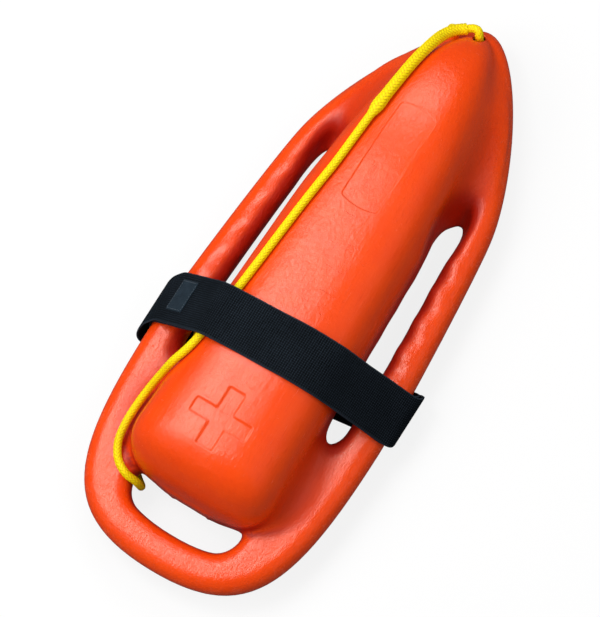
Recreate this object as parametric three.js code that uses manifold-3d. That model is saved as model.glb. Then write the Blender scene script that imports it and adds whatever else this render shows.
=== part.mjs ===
// Rescue can: a moulded float with three hand grips, its tow rope and its wound shoulder strap.
// Millimetres. +Y points to the nose, +X to the right as seen from behind, +Z up. The float rests
// on its belly strap, whose lowest face is at z = 0.

import * as THREE from 'three';
import { mergeVertices } from 'three/addons/utils/BufferGeometryUtils.js';
import Module from 'manifold-3d';

const wasm = await Module();
wasm.setup();

// Outline of the float in plan. The pulls are how far each curve leans on its tangent.
const hullLength = 680;
const nosePull = 41;
const shoulderFromNose = 192;
const shoulderHalfWidth = 120.5;
const shoulderSlopeShare = 0.18;
const shoulderPullFore = 71;
const shoulderPullAft = 41;
const widestFromNose = 451;
const widestHalfWidth = 141.6;
const widestPullFore = 40;
const widestPullAft = 167;
const sternPull = 120;

// Deck: the thinner body whose rounded edge makes the grips.
const deckHeight = 34;
const deckLand = 1;
const sideRailWidth = 37.3;
const sideRailTaperShare = 0.028;
const sternRailWidth = 44.5;

// Hand slots through the deck. Side slots run between two cross lines, the stern slot is bowed aft.
const sideSlotForeY = 140;
const sideSlotAftY = -132;
const sideSlotInnerX = 60;
const sideSlotEdgeBlend = 16;
const sideSlotForeBlend = 44;
const sideSlotAftBlend = 26;
const sternSlotForeY = -261;
const sternSlotHalfWidth = 68.5;
const sternSlotBow = 10;
const sternSlotEdgeBlend = 12;
const sternSlotEndBlend = 24;

// Finger waves over the inner shoulder of the side grips, from the first ridge aft to the last one.
const waveHeight = 1.3;
const wavePitch = 37;
const waveFirstRidgeY = -6.7;
const waveForeY = 128;
const waveAftY = -46;
const waveFade = 16;
const waveSideFrom = 9;
const waveSideRun = 17;
const waveRise = 13;

// Can: the buoyant body, square-shouldered in section, with a bullet nose and a rounded stern.
const crownHeight = 100;
const bellyDepth = 30;
const bellyTrim = 1.2;
const canForeInset = 68.1;
const canAftInset = 52.1;
const canSternY = -261;
const canTipInset = 9;
const crownTipInset = 8;
const canNoseReach = 270;
const crownNoseReach = 205;
const crownSternReach = 60;
const canSternReach = 48;
const canSectionPower = 2.8;
const sternSmallWidthShare = 0.42;
const sternSmallHeightShare = 0.06;
const sternSmallDepthShare = 0.3;

// Fillet between can and deck, by its distance from the nose tip.
const tipFillet = 2;
const noseFillet = 54;
const gripFillet = 24;
const quarterFillet = 38;
const sternFillet = 4;
const underFillet = 12;
const underFilletFade = 16;
const tipFilletAt = 4;
const noseFilletFrom = 94;
const noseFilletTo = 125;
const gripFilletFrom = 215;
const gripFilletTo = 470;
const quarterFilletAt = 530;
const sternFilletAt = 610;

// Scoops that lead the fingers into the fore end of the side slots.
const scoopX = 83;
const scoopY = 134;
const scoopRise = 27;
const scoopAcross = 14;
const scoopAlong = 34;
const scoopUp = 38;
const scoopFillet = 10;
const slotEdgeFillet = 8;
const slotEdgeGrowth = 2;

// Grid of the moulded skin: small cells at the grips and their slots, large ones on the can.
const gripCellAcross = 8;
const canCellAcross = 14;
const gripCellAlong = 9.25;
const canCellAlong = 19;
const endCellAlong = 12;
const endZone = 90;
const gripCellUp = 8;
const canCellUp = 13;
const skinMargin = 6;
const skinProbe = 0.5;
const cellRimShare = 0.04;
const eveningShare = 0.7;

// Recessed cross and recessed plate on the crown, and the rope hole in the nose.
const crossY = -176;
const crossSpan = 71;
const crossArm = 20.5;
const crossDepth = 2.5;
const plateFromNose = 187;
const plateWidth = 44;
const plateLength = 118;
const plateBow = 4;
const plateDepth = 1.6;
const noseHoleX = -4;
const noseHoleFromNose = 15;
const noseHoleDiameter = 13;

// Skin thickness, foam core and fill plug.
const skinThickness = 6;
const foamGap = 0.5;
const foamNoseInset = 57;
const foamSternInset = 18;
const plugY = -205;
const plugHeadDiameter = 28;
const plugHeadThickness = 2.4;
const plugHeadBevel = 0.8;
const plugShankDiameter = 18;
const plugRimDiameter = 19.6;
const plugRimHeight = 2.6;
const plugRimRise = 1;
const plugTip = 3;

// Rope and its spliced ends.
const ropeDiameter = 9.4;
const spliceDiameter = 12.8;
const noseSpliceLength = 138;
const ringSpliceLength = 70;
const spliceTaper = 12;

// Webbing strap, wound twice round the float and lying a little askew.
const webThickness = 2.2;
const webWidth = 61;
const turnGap = 0.65;
const strapY = -76.5;
const strapTopSlewShare = 0.045;
const strapBottomSlewShare = 0.11;
const innerSlackLeft = 0.3;
const innerSlackRight = 1.2;
const outerSlackLeft = 4.4;
const outerSlackRight = 3.6;
const outerStepAft = 13;
const outerStepRise = 12;
const outerStepFromX = 92;
const strapSeamX = -62;
const seamRamp = 26;
const outerEndShort = 34;
const strapCentreRise = 20;
const turningWeight = 60;
const strapStations = 144;
const labelWidth = 34;
const labelLength = 37;
const labelThickness = 0.8;
const labelInset = 5;
const labelFromSide = 23.6;

// Ring that joins the rope to the strap, and the sewn tab that holds it.
const ringY = -70;
const ringFromCan = 6.3;
const ringSeat = 0.6;
const ringWire = 5;
const ringRadius = 14.5;
const tabWidth = 8;
const tabThickness = 1.6;
const tabFoot = 7;
const tabRoom = 0.95;

// Clearances between touching pieces, and how far a cutter runs past what it cuts.
const seatGap = 0.3;
const holeClearance = 0.4;
const overrun = 5;

// Derived places.
const strapStack = seatGap + 2 * webThickness + turnGap;
const bellyZ = strapStack;
const deckZ = bellyZ + bellyDepth;
const crownZ = deckZ + crownHeight;
const noseY = hullLength / 2;
const plateY = noseY - plateFromNose;
const noseHoleY = noseY - noseHoleFromNose;
const edgeRadius = (deckHeight - deckLand) / 2;
const ropeRadius = ropeDiameter / 2;

// Route of the tow rope from its eye at the nose to its eye at the ring.
const ropeRoute = [
  [-20, 326.5, 63.5],
  [-28.5, 318.5, 67.5],
  [-34.5, 306, 77],
  [-36.5, 288.3, 93],
  [-37.9, 262, 110.3],
  [-38.8, 232, 122.8],
  [-40, 204, 130],
  [-41.5, 178.3, 133.1],
  [-43.1, 150, 133.8],
  [-45, 120, 134.3],
  [-48.5, 90, 133.4],
  [-52, 58, 132.2],
  [-55, 25, 131.1],
  [-58.1, -10, 129.9],
  [-61.2, -42, 128.6],
  [-65, -75, 126.8],
  [-69.1, -106, 124.3],
  [-74.3, -128, 120.3],
  [-82.6, -147, 110.5],
  [-90, -163, 92.4],
  [-95.6, -178.5, 78.6],
  [-99, -198, 71],
  [-100, -222, 66],
  [-97, -244, 61],
  [-87, -260, 58.4],
  [-73, -268, 56.3],
  [-61.5, -268.8, 46.9],
  [-58.3, -268.7, 33],
  [-60, -267, 20],
  [-70, -260, 12.5],
  [-83, -246, 11.2],
  [-95, -222, 11],
  [-101, -192, 10.9],
  [-102, -165, 10.8],
  [-100, -148, 10.8],
  [-97.3, -133.5, 14],
  [-94.5, -120, 20.6],
  [-92, -108, 23.5],
];

// Routes of the rope's two eyes, each a closed loop that starts where it leaves the splice.
const noseEyeRoute = [
  [-20, 326.5, 63.5],
  [-13.5, 330.5, 65],
  [-7.5, 330.5, 67],
  [-4.2, 326.8, 64],
  [-4, 325, 56],
  [-4, 325, 40],
  [-4, 325.2, 24],
  [-6.2, 326.4, 15.8],
  [-13, 328, 12.8],
  [-23, 328.5, 14.4],
  [-34, 327.2, 21],
  [-40, 324.2, 32],
  [-38, 323, 46],
  [-30, 323, 57],
];
const ringEyeRoute = [
  [-92, -109, 23.5],
  [-95.7, -98, 27],
  [-95.9, -84.5, 30.2],
  [-93.7, -78.8, 30.6],
  [-88, -76.4, 30.6],
  [-82.5, -78.8, 30.3],
  [-80.4, -84.5, 29.9],
  [-85.5, -98, 27],
];

// Plain sums.
const clamp01 = (value) => Math.min(Math.max(value, 0), 1);
const smooth01 = (value) => clamp01(value) ** 2 * (3 - 2 * clamp01(value));
const mix = (from, to, share) => from + (to - from) * share;

// Smallest and largest of two distances with a fillet of the given reach between them.
function filletedUnion(a, b, reach) {
  const near = Math.max(reach - Math.abs(a - b), 0) / reach;
  return Math.min(a, b) - (near * near * reach) / 4;
}

function filletedCut(a, b, reach) {
  return -filletedUnion(-a, b, reach);
}

// Value of a table of [place, value] pairs at a place, eased between its rows.
function along(table, place) {
  const next = table.findIndex((row) => row[0] >= place);
  if (next < 0) return table[table.length - 1][1];
  if (next === 0) return table[0][1];
  const [fromPlace, fromValue] = table[next - 1];
  const [toPlace, toValue] = table[next];
  return mix(fromValue, toValue, smooth01((place - fromPlace) / (toPlace - fromPlace)));
}

// Half outline of the float, from the nose tip to the middle of the stern.
function halfOutline() {
  const lean = new THREE.Vector2(shoulderSlopeShare, -1).normalize();
  const shoulder = new THREE.Vector2(shoulderHalfWidth, noseY - shoulderFromNose);
  const fore = shoulder.clone().addScaledVector(lean, -shoulderPullFore);
  const aft = shoulder.clone().addScaledVector(lean, shoulderPullAft);
  const widestY = noseY - widestFromNose;
  const path = new THREE.Path();
  path.moveTo(0, noseY);
  path.bezierCurveTo(nosePull, noseY, fore.x, fore.y, shoulder.x, shoulder.y);
  path.bezierCurveTo(
    aft.x, aft.y, widestHalfWidth, widestY + widestPullFore, widestHalfWidth, widestY);
  path.bezierCurveTo(widestHalfWidth, widestY - widestPullAft, sternPull, -noseY, 0, -noseY);
  return path.getPoints(26);
}

const outline = halfOutline();

// Signed distance in plan from the outline, less than zero inside it.
function outlineDistance(x, y) {
  const side = Math.abs(x);
  let nearest = Infinity;
  let inside = false;
  for (let i = 0; i + 1 < outline.length; i += 1) {
    const from = outline[i];
    const to = outline[i + 1];
    const runX = to.x - from.x;
    const runY = to.y - from.y;
    const share = clamp01(((side - from.x) * runX + (y - from.y) * runY) / (runX ** 2 + runY ** 2));
    nearest = Math.min(nearest, Math.hypot(side - from.x - runX * share, y - from.y - runY * share));
    if (from.y > y !== to.y > y && side < from.x + ((y - from.y) / runY) * runX) inside = !inside;
  }
  return inside ? -nearest : nearest;
}

// Half width of the float at a place along it.
function halfWidthAt(y) {
  const next = outline.findIndex((point) => point.y <= y && point.x > 0);
  const to = outline[next];
  const from = outline[next - 1];
  return mix(from.x, to.x, (from.y - y) / (from.y - to.y));
}

// How far the finger waves swell the grips at a place, by its distance in from the float's edge.
function fingerWave(inward, y, z) {
  const fade = smooth01((y - waveAftY) / waveFade) * smooth01((waveForeY - y) / waveFade);
  const sideShare = smooth01((inward - waveSideFrom) / waveSideRun);
  const upShare = smooth01((z - deckZ) / waveRise);
  const ridge = Math.cos((2 * Math.PI * (y - waveFirstRidgeY)) / wavePitch);
  return waveHeight * fade * sideShare * upShare * ridge;
}

// Distances in plan: to the stern slot, and to what is left of the deck beside all three slots.
function deckPlan(x, y) {
  const edge = outlineDistance(x, y);
  const side = Math.abs(x);
  const railInside = edge + sideRailWidth - sideRailTaperShare * y;
  const strip = filletedCut(railInside, side - sideSlotInnerX, sideSlotEdgeBlend);
  const openAft = filletedCut(strip, sideSlotForeY - y, sideSlotForeBlend);
  const sideSlot = filletedCut(openAft, y - sideSlotAftY, sideSlotAftBlend);
  const bowedY = sternSlotForeY + sternSlotBow * (x / sternSlotHalfWidth) ** 2;
  const gap = filletedCut(edge + sternRailWidth, bowedY - y, sternSlotEdgeBlend);
  const sternSlot = filletedCut(gap, sternSlotHalfWidth - side, sternSlotEndBlend);
  return { edge, sternSlot, deck: Math.max(edge, -sideSlot, -sternSlot) };
}

// Share of its full size that a bullet-shaped end has at a distance from its tip.
function bullet(fromTip, reach, fullness, roundness) {
  return (1 - (1 - clamp01(fromTip / reach)) ** fullness) ** (1 / roundness);
}

// Half width, height above the deck's middle and depth below it, of the can at a place along it.
function canSize(y) {
  const fromNose = noseY - y;
  const flareShare = (sideSlotForeY - Math.min(y, sideSlotForeY)) / (sideSlotForeY - canSternY);
  const flare = widestHalfWidth - mix(canForeInset, canAftInset, flareShare);
  const noseWidth = bullet(fromNose - canTipInset, canNoseReach, 2, 1.7);
  const noseHeight = bullet(fromNose - crownTipInset, crownNoseReach, 2.2, 2);
  const sternHeight = bullet(y - canSternY, crownSternReach, 2.4, 2.4);
  const sternWidth = bullet(y - canSternY, canSternReach, 2.2, 2.2);
  return {
    halfWidth: flare * noseWidth * mix(sternSmallWidthShare, 1, sternWidth),
    above: crownHeight * noseHeight * mix(sternSmallHeightShare, 1, sternHeight),
    below: (bellyDepth + bellyTrim) * noseHeight ** 0.8 * mix(sternSmallDepthShare, 1, sternHeight),
  };
}

function canDistance(x, y, z) {
  const { halfWidth, above, below } = canSize(y);
  const half = Math.max((above + below) / 2, skinProbe);
  const wide = Math.max(halfWidth, skinProbe);
  const up = z - deckZ - (above - below) / 2;
  const spread =
    (Math.abs(x / wide) ** canSectionPower + Math.abs(up / half) ** canSectionPower) **
    (1 / canSectionPower);
  const out = Math.hypot(x, up);
  const deepest = -Math.min(wide, half);
  const across = spread > 0 ? Math.max(out * (1 - 1 / spread), deepest) : deepest;
  const beyond = Math.max(canSternY - y, y - (noseY - crownTipInset), 0);
  return beyond > 0 ? Math.hypot(Math.max(across, 0), beyond) : across;
}

// Deck as a plate with fully rounded edges.
function deckDistance(plan, z) {
  const outward = plan + edgeRadius;
  const upward = Math.abs(z - deckZ) - deckLand / 2;
  const inner = Math.min(Math.max(outward, upward), 0);
  return Math.hypot(Math.max(outward, 0), Math.max(upward, 0)) + inner - edgeRadius;
}

function scoopDistance(x, y, z) {
  const across = (Math.abs(x) - scoopX) / scoopAcross;
  const lengthwise = (y - scoopY) / scoopAlong;
  const up = (z - deckZ - scoopRise) / scoopUp;
  return (Math.hypot(across, lengthwise, up) - 1) * scoopAcross;
}

const filletTable = [
  [tipFilletAt, tipFillet],
  [noseFilletFrom, noseFillet],
  [noseFilletTo, noseFillet],
  [gripFilletFrom, gripFillet],
  [gripFilletTo, gripFillet],
  [quarterFilletAt, quarterFillet],
  [sternFilletAt, sternFillet],
];

// Signed distance to the moulded float, with can and deck run together and the scoops taken out.
function hullDistance(x, y, z) {
  const { edge, sternSlot, deck } = deckPlan(x, y);
  const plate = deckDistance(deck, z) - fingerWave(-edge, y, z);
  const topReach = along(filletTable, noseY - y);
  const topShare = smooth01((z - deckZ) / underFilletFade);
  const reach = mix(Math.min(topReach, underFillet), topReach, topShare);
  const body = filletedUnion(plate, canDistance(x, y, z), reach);
  const scooped = filletedCut(body, scoopDistance(x, y, z), scoopFillet);
  return filletedCut(scooped, sternSlot + slotEdgeGrowth, slotEdgeFillet);
}

// Closed skin where a distance function is zero: one vertex in each grid cell that the skin
// crosses, slid onto the skin, and one quad round each grid edge that goes through it. The vertices
// are then evened out, each inside its own cell.
function skinOf(distance, lines) {
  const count = lines.map((list) => list.length - 1);
  const steps = [(count[1] + 1) * (count[2] + 1), count[2] + 1, 1];
  const values = lines[0].flatMap(
    (x) => lines[1].flatMap((y) => lines[2].map((z) => distance(x, y, z))));
  const corners = [0, 1, 2, 3, 4, 5, 6, 7].map((bits) => [bits & 1, (bits >> 1) & 1, (bits >> 2) & 1]);
  const spots = [];
  const cells = [];
  const vertexOf = new Map();
  for (let i = 0; i < count[0]; i += 1) {
    for (let j = 0; j < count[1]; j += 1) {
      for (let k = 0; k < count[2]; k += 1) {
        const node = i * steps[0] + j * steps[1] + k;
        const crossings = [];
        for (const corner of corners) {
          const from = node + corner[0] * steps[0] + corner[1] * steps[1] + corner[2];
          for (let axis = 0; axis < 3; axis += 1) {
            if (corner[axis] === 1) continue;
            const to = from + steps[axis];
            if (values[from] < 0 === values[to] < 0) continue;
            const point = [...corner];
            point[axis] += values[from] / (values[from] - values[to]);
            crossings.push(point);
          }
        }
        if (crossings.length === 0) continue;
        const low = [i, j, k].map((index, axis) => lines[axis][index]);
        const size = [i, j, k].map((index, axis) => lines[axis][index + 1] - lines[axis][index]);
        const middle = low.map((value, axis) => (
          value + (size[axis] * crossings.reduce((sum, point) => sum + point[axis], 0)) / crossings.length));
        vertexOf.set(node, spots.length);
        cells.push({ low, size });
        spots.push(slideOnto(distance, middle, { low, size }));
      }
    }
  }
  const quads = [];
  for (let i = 0; i <= count[0]; i += 1) {
    for (let j = 0; j <= count[1]; j += 1) {
      for (let k = 0; k <= count[2]; k += 1) {
        const index = [i, j, k];
        const node = i * steps[0] + j * steps[1] + k;
        for (let axis = 0; axis < 3; axis += 1) {
          if (index[axis] === count[axis]) continue;
          if (values[node] < 0 === values[node + steps[axis]] < 0) continue;
          const b = steps[(axis + 1) % 3];
          const c = steps[(axis + 2) % 3];
          const quad = [node, node - b, node - b - c, node - c].map((cellNode) => vertexOf.get(cellNode));
          if (values[node] >= 0) quad.reverse();
          quads.push(quad);
        }
      }
    }
  }
  const even = evenedOut(distance, spots, quads, cells);
  const spread = (a, b) => Math.hypot(...[0, 1, 2].map((axis) => even[a][axis] - even[b][axis]));
  const indices = quads.flatMap(([p, q, r, s]) => (
    spread(p, r) < spread(q, s) ? [p, q, r, p, r, s] : [q, r, s, q, s, p]));
  const geometry = new THREE.BufferGeometry();
  geometry.setAttribute('position', new THREE.Float32BufferAttribute(even.flat(), 3));
  geometry.setIndex(indices);
  return geometry;
}

// Vertices of a net of quads, drawn toward the middle of their neighbours and slid back onto the
// skin, a few times over.
function evenedOut(distance, spots, quads, cells) {
  const neighbours = spots.map(() => new Set());
  for (const quad of quads) {
    quad.forEach((vertex, i) => {
      neighbours[vertex].add(quad[(i + 1) % 4]);
      neighbours[vertex].add(quad[(i + 3) % 4]);
    });
  }
  let now = spots;
  for (let pass = 0; pass < 6; pass += 1) {
    const before = now;
    now = before.map((spot, vertex) => {
      const others = [...neighbours[vertex]];
      const drawn = spot.map((value, axis) => {
        const middle = others.reduce((sum, other) => sum + before[other][axis], 0) / others.length;
        return mix(value, middle, eveningShare);
      });
      return slideOnto(distance, drawn, cells[vertex]);
    });
  }
  return now;
}

// Point of a cell moved along the slope of the distance until it lies on the skin, or as near as
// it gets inside its own cell.
function slideOnto(distance, point, { low, size }) {
  let spot = point;
  for (let pass = 0; pass < 3; pass += 1) {
    const slope = [0, 1, 2].map((axis) => {
      const ahead = spot.map((value, i) => value + (i === axis ? skinProbe : 0));
      const behind = spot.map((value, i) => value - (i === axis ? skinProbe : 0));
      return (distance(...ahead) - distance(...behind)) / (2 * skinProbe);
    });
    const steepness = slope.reduce((sum, part) => sum + part * part, 0);
    if (steepness === 0) return spot;
    const pull = distance(...spot) / steepness;
    spot = spot.map((value, axis) => {
      const share = (value - slope[axis] * pull - low[axis]) / size[axis];
      return low[axis] + size[axis] * Math.min(Math.max(share, cellRimShare), 1 - cellRimShare);
    });
  }
  return spot;
}

// Solids for joining and cutting, and back again.
function toSolid(geometry) {
  const bare = geometry.clone();
  bare.deleteAttribute('normal');
  bare.deleteAttribute('uv');
  const merged = mergeVertices(bare);
  const vertProperties = new Float32Array(merged.attributes.position.array);
  const triVerts = new Uint32Array(merged.index.array);
  return new wasm.Manifold(new wasm.Mesh({ numProp: 3, vertProperties, triVerts }));
}

function toGeometry(solid) {
  const mesh = solid.getMesh();
  const geometry = new THREE.BufferGeometry();
  geometry.setAttribute('position', new THREE.Float32BufferAttribute(mesh.vertProperties, 3));
  geometry.setIndex(new THREE.Uint32BufferAttribute(mesh.triVerts, 1));
  return geometry;
}

// Closed loft through rings of equal count, each listed anticlockwise as seen from the last ring.
function loft(rings, closed = false) {
  const size = rings[0].length;
  const positions = rings.flat().flatMap((point) => [point.x, point.y, point.z]);
  const indices = [];
  const last = closed ? rings.length : rings.length - 1;
  for (let i = 0; i < last; i += 1) {
    const here = i * size;
    const there = ((i + 1) % rings.length) * size;
    for (let j = 0; j < size; j += 1) {
      const next = (j + 1) % size;
      indices.push(here + j, here + next, there + next, here + j, there + next, there + j);
    }
  }
  if (!closed) {
    for (const [ring, flip] of [[rings[0], true], [rings[rings.length - 1], false]]) {
      const middle = positions.length / 3;
      const centre = ring.reduce((sum, point) => sum.add(point), new THREE.Vector3());
      centre.divideScalar(size);
      positions.push(centre.x, centre.y, centre.z);
      const first = flip ? 0 : (rings.length - 1) * size;
      for (let j = 0; j < size; j += 1) {
        const next = (j + 1) % size;
        if (flip) indices.push(middle, first + next, first + j);
        else indices.push(middle, first + j, first + next);
      }
    }
  }
  const geometry = new THREE.BufferGeometry();
  geometry.setAttribute('position', new THREE.Float32BufferAttribute(positions, 3));
  geometry.setIndex(indices);
  return geometry;
}

// Upright prism of a shape between two heights.
function prism(shape, bottom, top) {
  const geometry = new THREE.ExtrudeGeometry(shape, { depth: top - bottom, bevelEnabled: false });
  return geometry.translate(0, 0, bottom);
}

// Upright turned body from [radius, height] pairs.
function turned(profile, sides) {
  const points = profile.map(([radius, height]) => new THREE.Vector2(radius, height));
  return new THREE.LatheGeometry(points, sides).rotateX(Math.PI / 2);
}

// Lines of a grid from a start through zones, each given by its end and the cell in it.
function gridLines(start, zones) {
  return zones.reduce((list, [end, cell]) => {
    const from = list[list.length - 1];
    const count = Math.max(Math.round((end - from) / cell), 1);
    return [...list, ...Array.from({ length: count }, (_, i) => mix(from, end, (i + 1) / count))];
  }, [start]);
}

// Moulded skin, before it is trimmed flat under the belly.
function outerSkin() {
  const half = gridLines(0, [
    [widestHalfWidth - canAftInset - skinMargin, canCellAcross],
    [widestHalfWidth + skinMargin, gripCellAcross],
  ]);
  const across = [...half.slice(1).map((x) => -x).reverse(), ...half];
  const reach = outline.map((point) => point.y);
  const lengthwise = gridLines(Math.min(...reach) - skinMargin, [
    [endZone - noseY, endCellAlong],
    [sideSlotAftY - skinMargin, canCellAlong],
    [sideSlotForeY + scoopAlong, gripCellAlong],
    [noseY - endZone, canCellAlong],
    [Math.max(...reach) + skinMargin, endCellAlong],
  ]);
  const upward = gridLines(bellyZ - bellyTrim - skinMargin, [
    [deckZ + edgeRadius + skinMargin, gripCellUp],
    [crownZ + skinMargin, canCellUp],
  ]);
  return skinOf(hullDistance, [across, lengthwise, upward]);
}

// Cross-section of the can at a place along it, drawn in by an inset.
function canRing(y, inset, count, atY = y) {
  const { halfWidth, above, below } = canSize(y);
  const half = (above + below) / 2 - inset;
  const wide = halfWidth - inset;
  const middle = deckZ + (above - below) / 2;
  const power = 2 / canSectionPower;
  return Array.from({ length: count }, (_, i) => {
    const angle = (2 * Math.PI * (i + 0.5)) / count;
    const across = Math.sign(Math.cos(angle)) * Math.abs(Math.cos(angle)) ** power;
    const up = Math.sign(Math.sin(angle)) * Math.abs(Math.sin(angle)) ** power;
    return new THREE.Vector3(-wide * across, atY, middle + half * up);
  });
}

// Body that follows the can's inside, drawn in by a further gap on every side.
function canCore(gap) {
  const stations = 13;
  const rings = Array.from({ length: stations + 1 }, (_, i) => {
    const share = (1 - Math.cos((Math.PI * i) / stations)) / 2;
    const y = mix(canSternY + foamSternInset, noseY - foamNoseInset, share);
    const pullIn = i === 0 ? gap : i === stations ? -gap : 0;
    return canRing(y, skinThickness + gap, 24, y + pullIn);
  });
  return loft(rings);
}

function crossShape() {
  const tip = crossSpan / 2;
  const arm = crossArm / 2;
  const quarter = [[arm, tip], [arm, arm], [tip, arm]];
  const points = [0, 1, 2, 3].flatMap((turn) => quarter.map(([x, y]) => {
    const point = new THREE.Vector2(x, y);
    return point.rotateAround(new THREE.Vector2(), (-turn * Math.PI) / 2);
  }));
  points.forEach((point) => point.add(new THREE.Vector2(0, crossY)));
  return new THREE.Shape(points);
}

function plateShape() {
  const side = plateWidth / 2;
  const fore = plateY + plateLength / 2;
  const aft = plateY - plateLength / 2;
  const shape = new THREE.Shape();
  shape.moveTo(-side, aft);
  shape.quadraticCurveTo(0, aft - 2 * plateBow, side, aft);
  shape.lineTo(side, fore);
  shape.quadraticCurveTo(0, fore + 2 * plateBow, -side, fore);
  return shape;
}

// What a recess takes out of the crown: its prism, down to the crown's own skin let down by its depth.
function recess(shape, skin, depth) {
  const block = toSolid(prism(shape, deckZ, crownZ + overrun));
  return block.subtract(toSolid(skin.clone().translate(0, 0, -depth)));
}

// Fill plug, from its head in the belly to its rim inside the skin. A larger copy of it cuts its hole.
function plugBody(growth) {
  const wallTop = deckZ - (bellyDepth + bellyTrim - skinThickness);
  const headTop = bellyZ + plugHeadThickness + growth;
  const head = plugHeadDiameter / 2 + growth;
  const shank = plugShankDiameter / 2 + growth;
  const rim = plugRimDiameter / 2 + growth;
  const bottom = growth > 0 ? bellyZ - overrun : bellyZ;
  const bevel = growth > 0 ? 0 : plugHeadBevel;
  const rimBottom = wallTop + plugRimRise;
  const rimTop = rimBottom + plugRimHeight;
  const profile = growth > 0
    ? [[0, bottom], [head, bottom], [head, headTop], [shank, headTop], [shank, rimTop], [0, rimTop]]
    : [
      [0, bottom], [head - bevel, bottom], [head, bottom + bevel], [head, headTop], [shank, headTop],
      [shank, rimBottom], [rim, rimBottom + (rim - shank)], [rim, rimTop], [shank, rimTop + plugTip],
      [0, rimTop + plugTip],
    ];
  return turned(profile, 28).translate(0, plugY, 0);
}

function hullShell() {
  const skin = outerSkin();
  const width = 2 * (widestHalfWidth + overrun);
  const trim = new THREE.BoxGeometry(width, hullLength + overrun, bellyZ + overrun);
  const noseHole = turned(
    [[0, 0], [noseHoleDiameter / 2, 0], [noseHoleDiameter / 2, crownZ], [0, crownZ]], 20);
  let solid = toSolid(skin);
  solid = solid.subtract(recess(crossShape(), skin, crossDepth));
  solid = solid.subtract(recess(plateShape(), skin, plateDepth));
  solid = solid.subtract(toSolid(noseHole.translate(noseHoleX, noseHoleY, 0)));
  solid = solid.subtract(toSolid(trim.translate(0, 0, (bellyZ - overrun) / 2)));
  solid = solid.subtract(toSolid(canCore(0)));
  solid = solid.subtract(toSolid(plugBody(holeClearance)));
  return toGeometry(solid);
}

function foamCore() {
  const pocketRadius = plugRimDiameter / 2 + seatGap;
  const pocketTop = deckZ - bellyDepth + skinThickness + plugRimHeight + plugTip + overrun;
  const pocket = turned([[0, 0], [pocketRadius, 0], [pocketRadius, pocketTop], [0, pocketTop]], 28);
  return toGeometry(toSolid(canCore(foamGap)).subtract(toSolid(pocket.translate(0, plugY, 0))));
}

// Round cord along a curve, with its radius read off at each distance from its start.
function cord(curve, stations, sides, radiusAt, closed = false) {
  const frames = curve.computeFrenetFrames(stations, closed);
  const length = curve.getLength();
  const count = closed ? stations : stations + 1;
  const rings = Array.from({ length: count }, (_, i) => {
    const centre = curve.getPointAt(i / stations);
    const radius = radiusAt((length * i) / stations, length);
    return Array.from({ length: sides }, (_unused, j) => {
      const angle = (2 * Math.PI * j) / sides;
      return centre.clone()
        .addScaledVector(frames.normals[i], radius * Math.cos(angle))
        .addScaledVector(frames.binormals[i], radius * Math.sin(angle));
    });
  });
  return toSolid(loft(rings, closed));
}

const curveOf = (route, closed = false) => (
  new THREE.CatmullRomCurve3(route.map((point) => new THREE.Vector3(...point)), closed));
const ropeCurve = curveOf(ropeRoute);

// Rope with its two spliced ends, each as thick as its splice, and its two eyes.
function towRope() {
  const swell = (fromEnd, reach) => 1 - smooth01((fromEnd - reach) / spliceTaper);
  const radiusAt = (place, length) => {
    const share = Math.max(swell(place, noseSpliceLength), swell(length - place, ringSpliceLength));
    return mix(ropeDiameter, spliceDiameter, share) / 2;
  };
  const main = cord(ropeCurve, 100, 10, radiusAt);
  const noseEye = cord(curveOf(noseEyeRoute, true), 26, 10, () => ropeRadius, true);
  const ringEye = cord(curveOf(ringEyeRoute, true), 20, 10, () => ropeRadius, true);
  return toGeometry(main.add(noseEye).add(ringEye));
}

// Points of the smallest closed outline without hollows round a set of points, anticlockwise.
function tautOutline(points) {
  const sorted = [...points].sort((a, b) => a.x - b.x || a.y - b.y);
  const half = (list) => list.reduce((chain, point) => {
    const turn = (a, b) => (b.x - a.x) * (point.y - a.y) - (b.y - a.y) * (point.x - a.x);
    while (chain.length > 1 && turn(chain[chain.length - 2], chain[chain.length - 1]) <= 0) chain.pop();
    chain.push(point);
    return chain;
  }, []);
  return [...half(sorted).slice(0, -1), ...half(sorted.reverse()).slice(0, -1)];
}

// Taut section of the strap round float and rope, let out from them by a growth. Its points hold
// the place across the float and the height.
function strapSection(growth, slackLeft, slackRight) {
  const points = [];
  const addCircle = (x, z, radius) => {
    for (let i = 0; i < 90; i += 1) {
      const angle = (2 * Math.PI * i) / 90;
      points.push(new THREE.Vector2(x + radius * Math.cos(angle), z + radius * Math.sin(angle)));
    }
  };
  const rail = widestHalfWidth - edgeRadius;
  for (const rise of [-deckLand / 2, deckLand / 2]) {
    addCircle(-rail - slackLeft, deckZ + rise, edgeRadius + growth);
    addCircle(rail + slackRight, deckZ + rise, edgeRadius + growth);
  }
  for (const point of canRing(strapY - webWidth, -growth, 120)) {
    points.push(new THREE.Vector2(point.x, Math.max(point.z, bellyZ - growth)));
  }
  for (const point of ropeCurve.getSpacedPoints(200)) {
    const under = point.z > deckZ && Math.abs(point.y - strapY) < webWidth / 2 + ropeDiameter;
    if (under) addCircle(point.x, point.z, ropeRadius + growth + seatGap / 2);
  }
  return tautOutline(points);
}

const strapCentre = new THREE.Vector2(0, deckZ + strapCentreRise);

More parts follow.
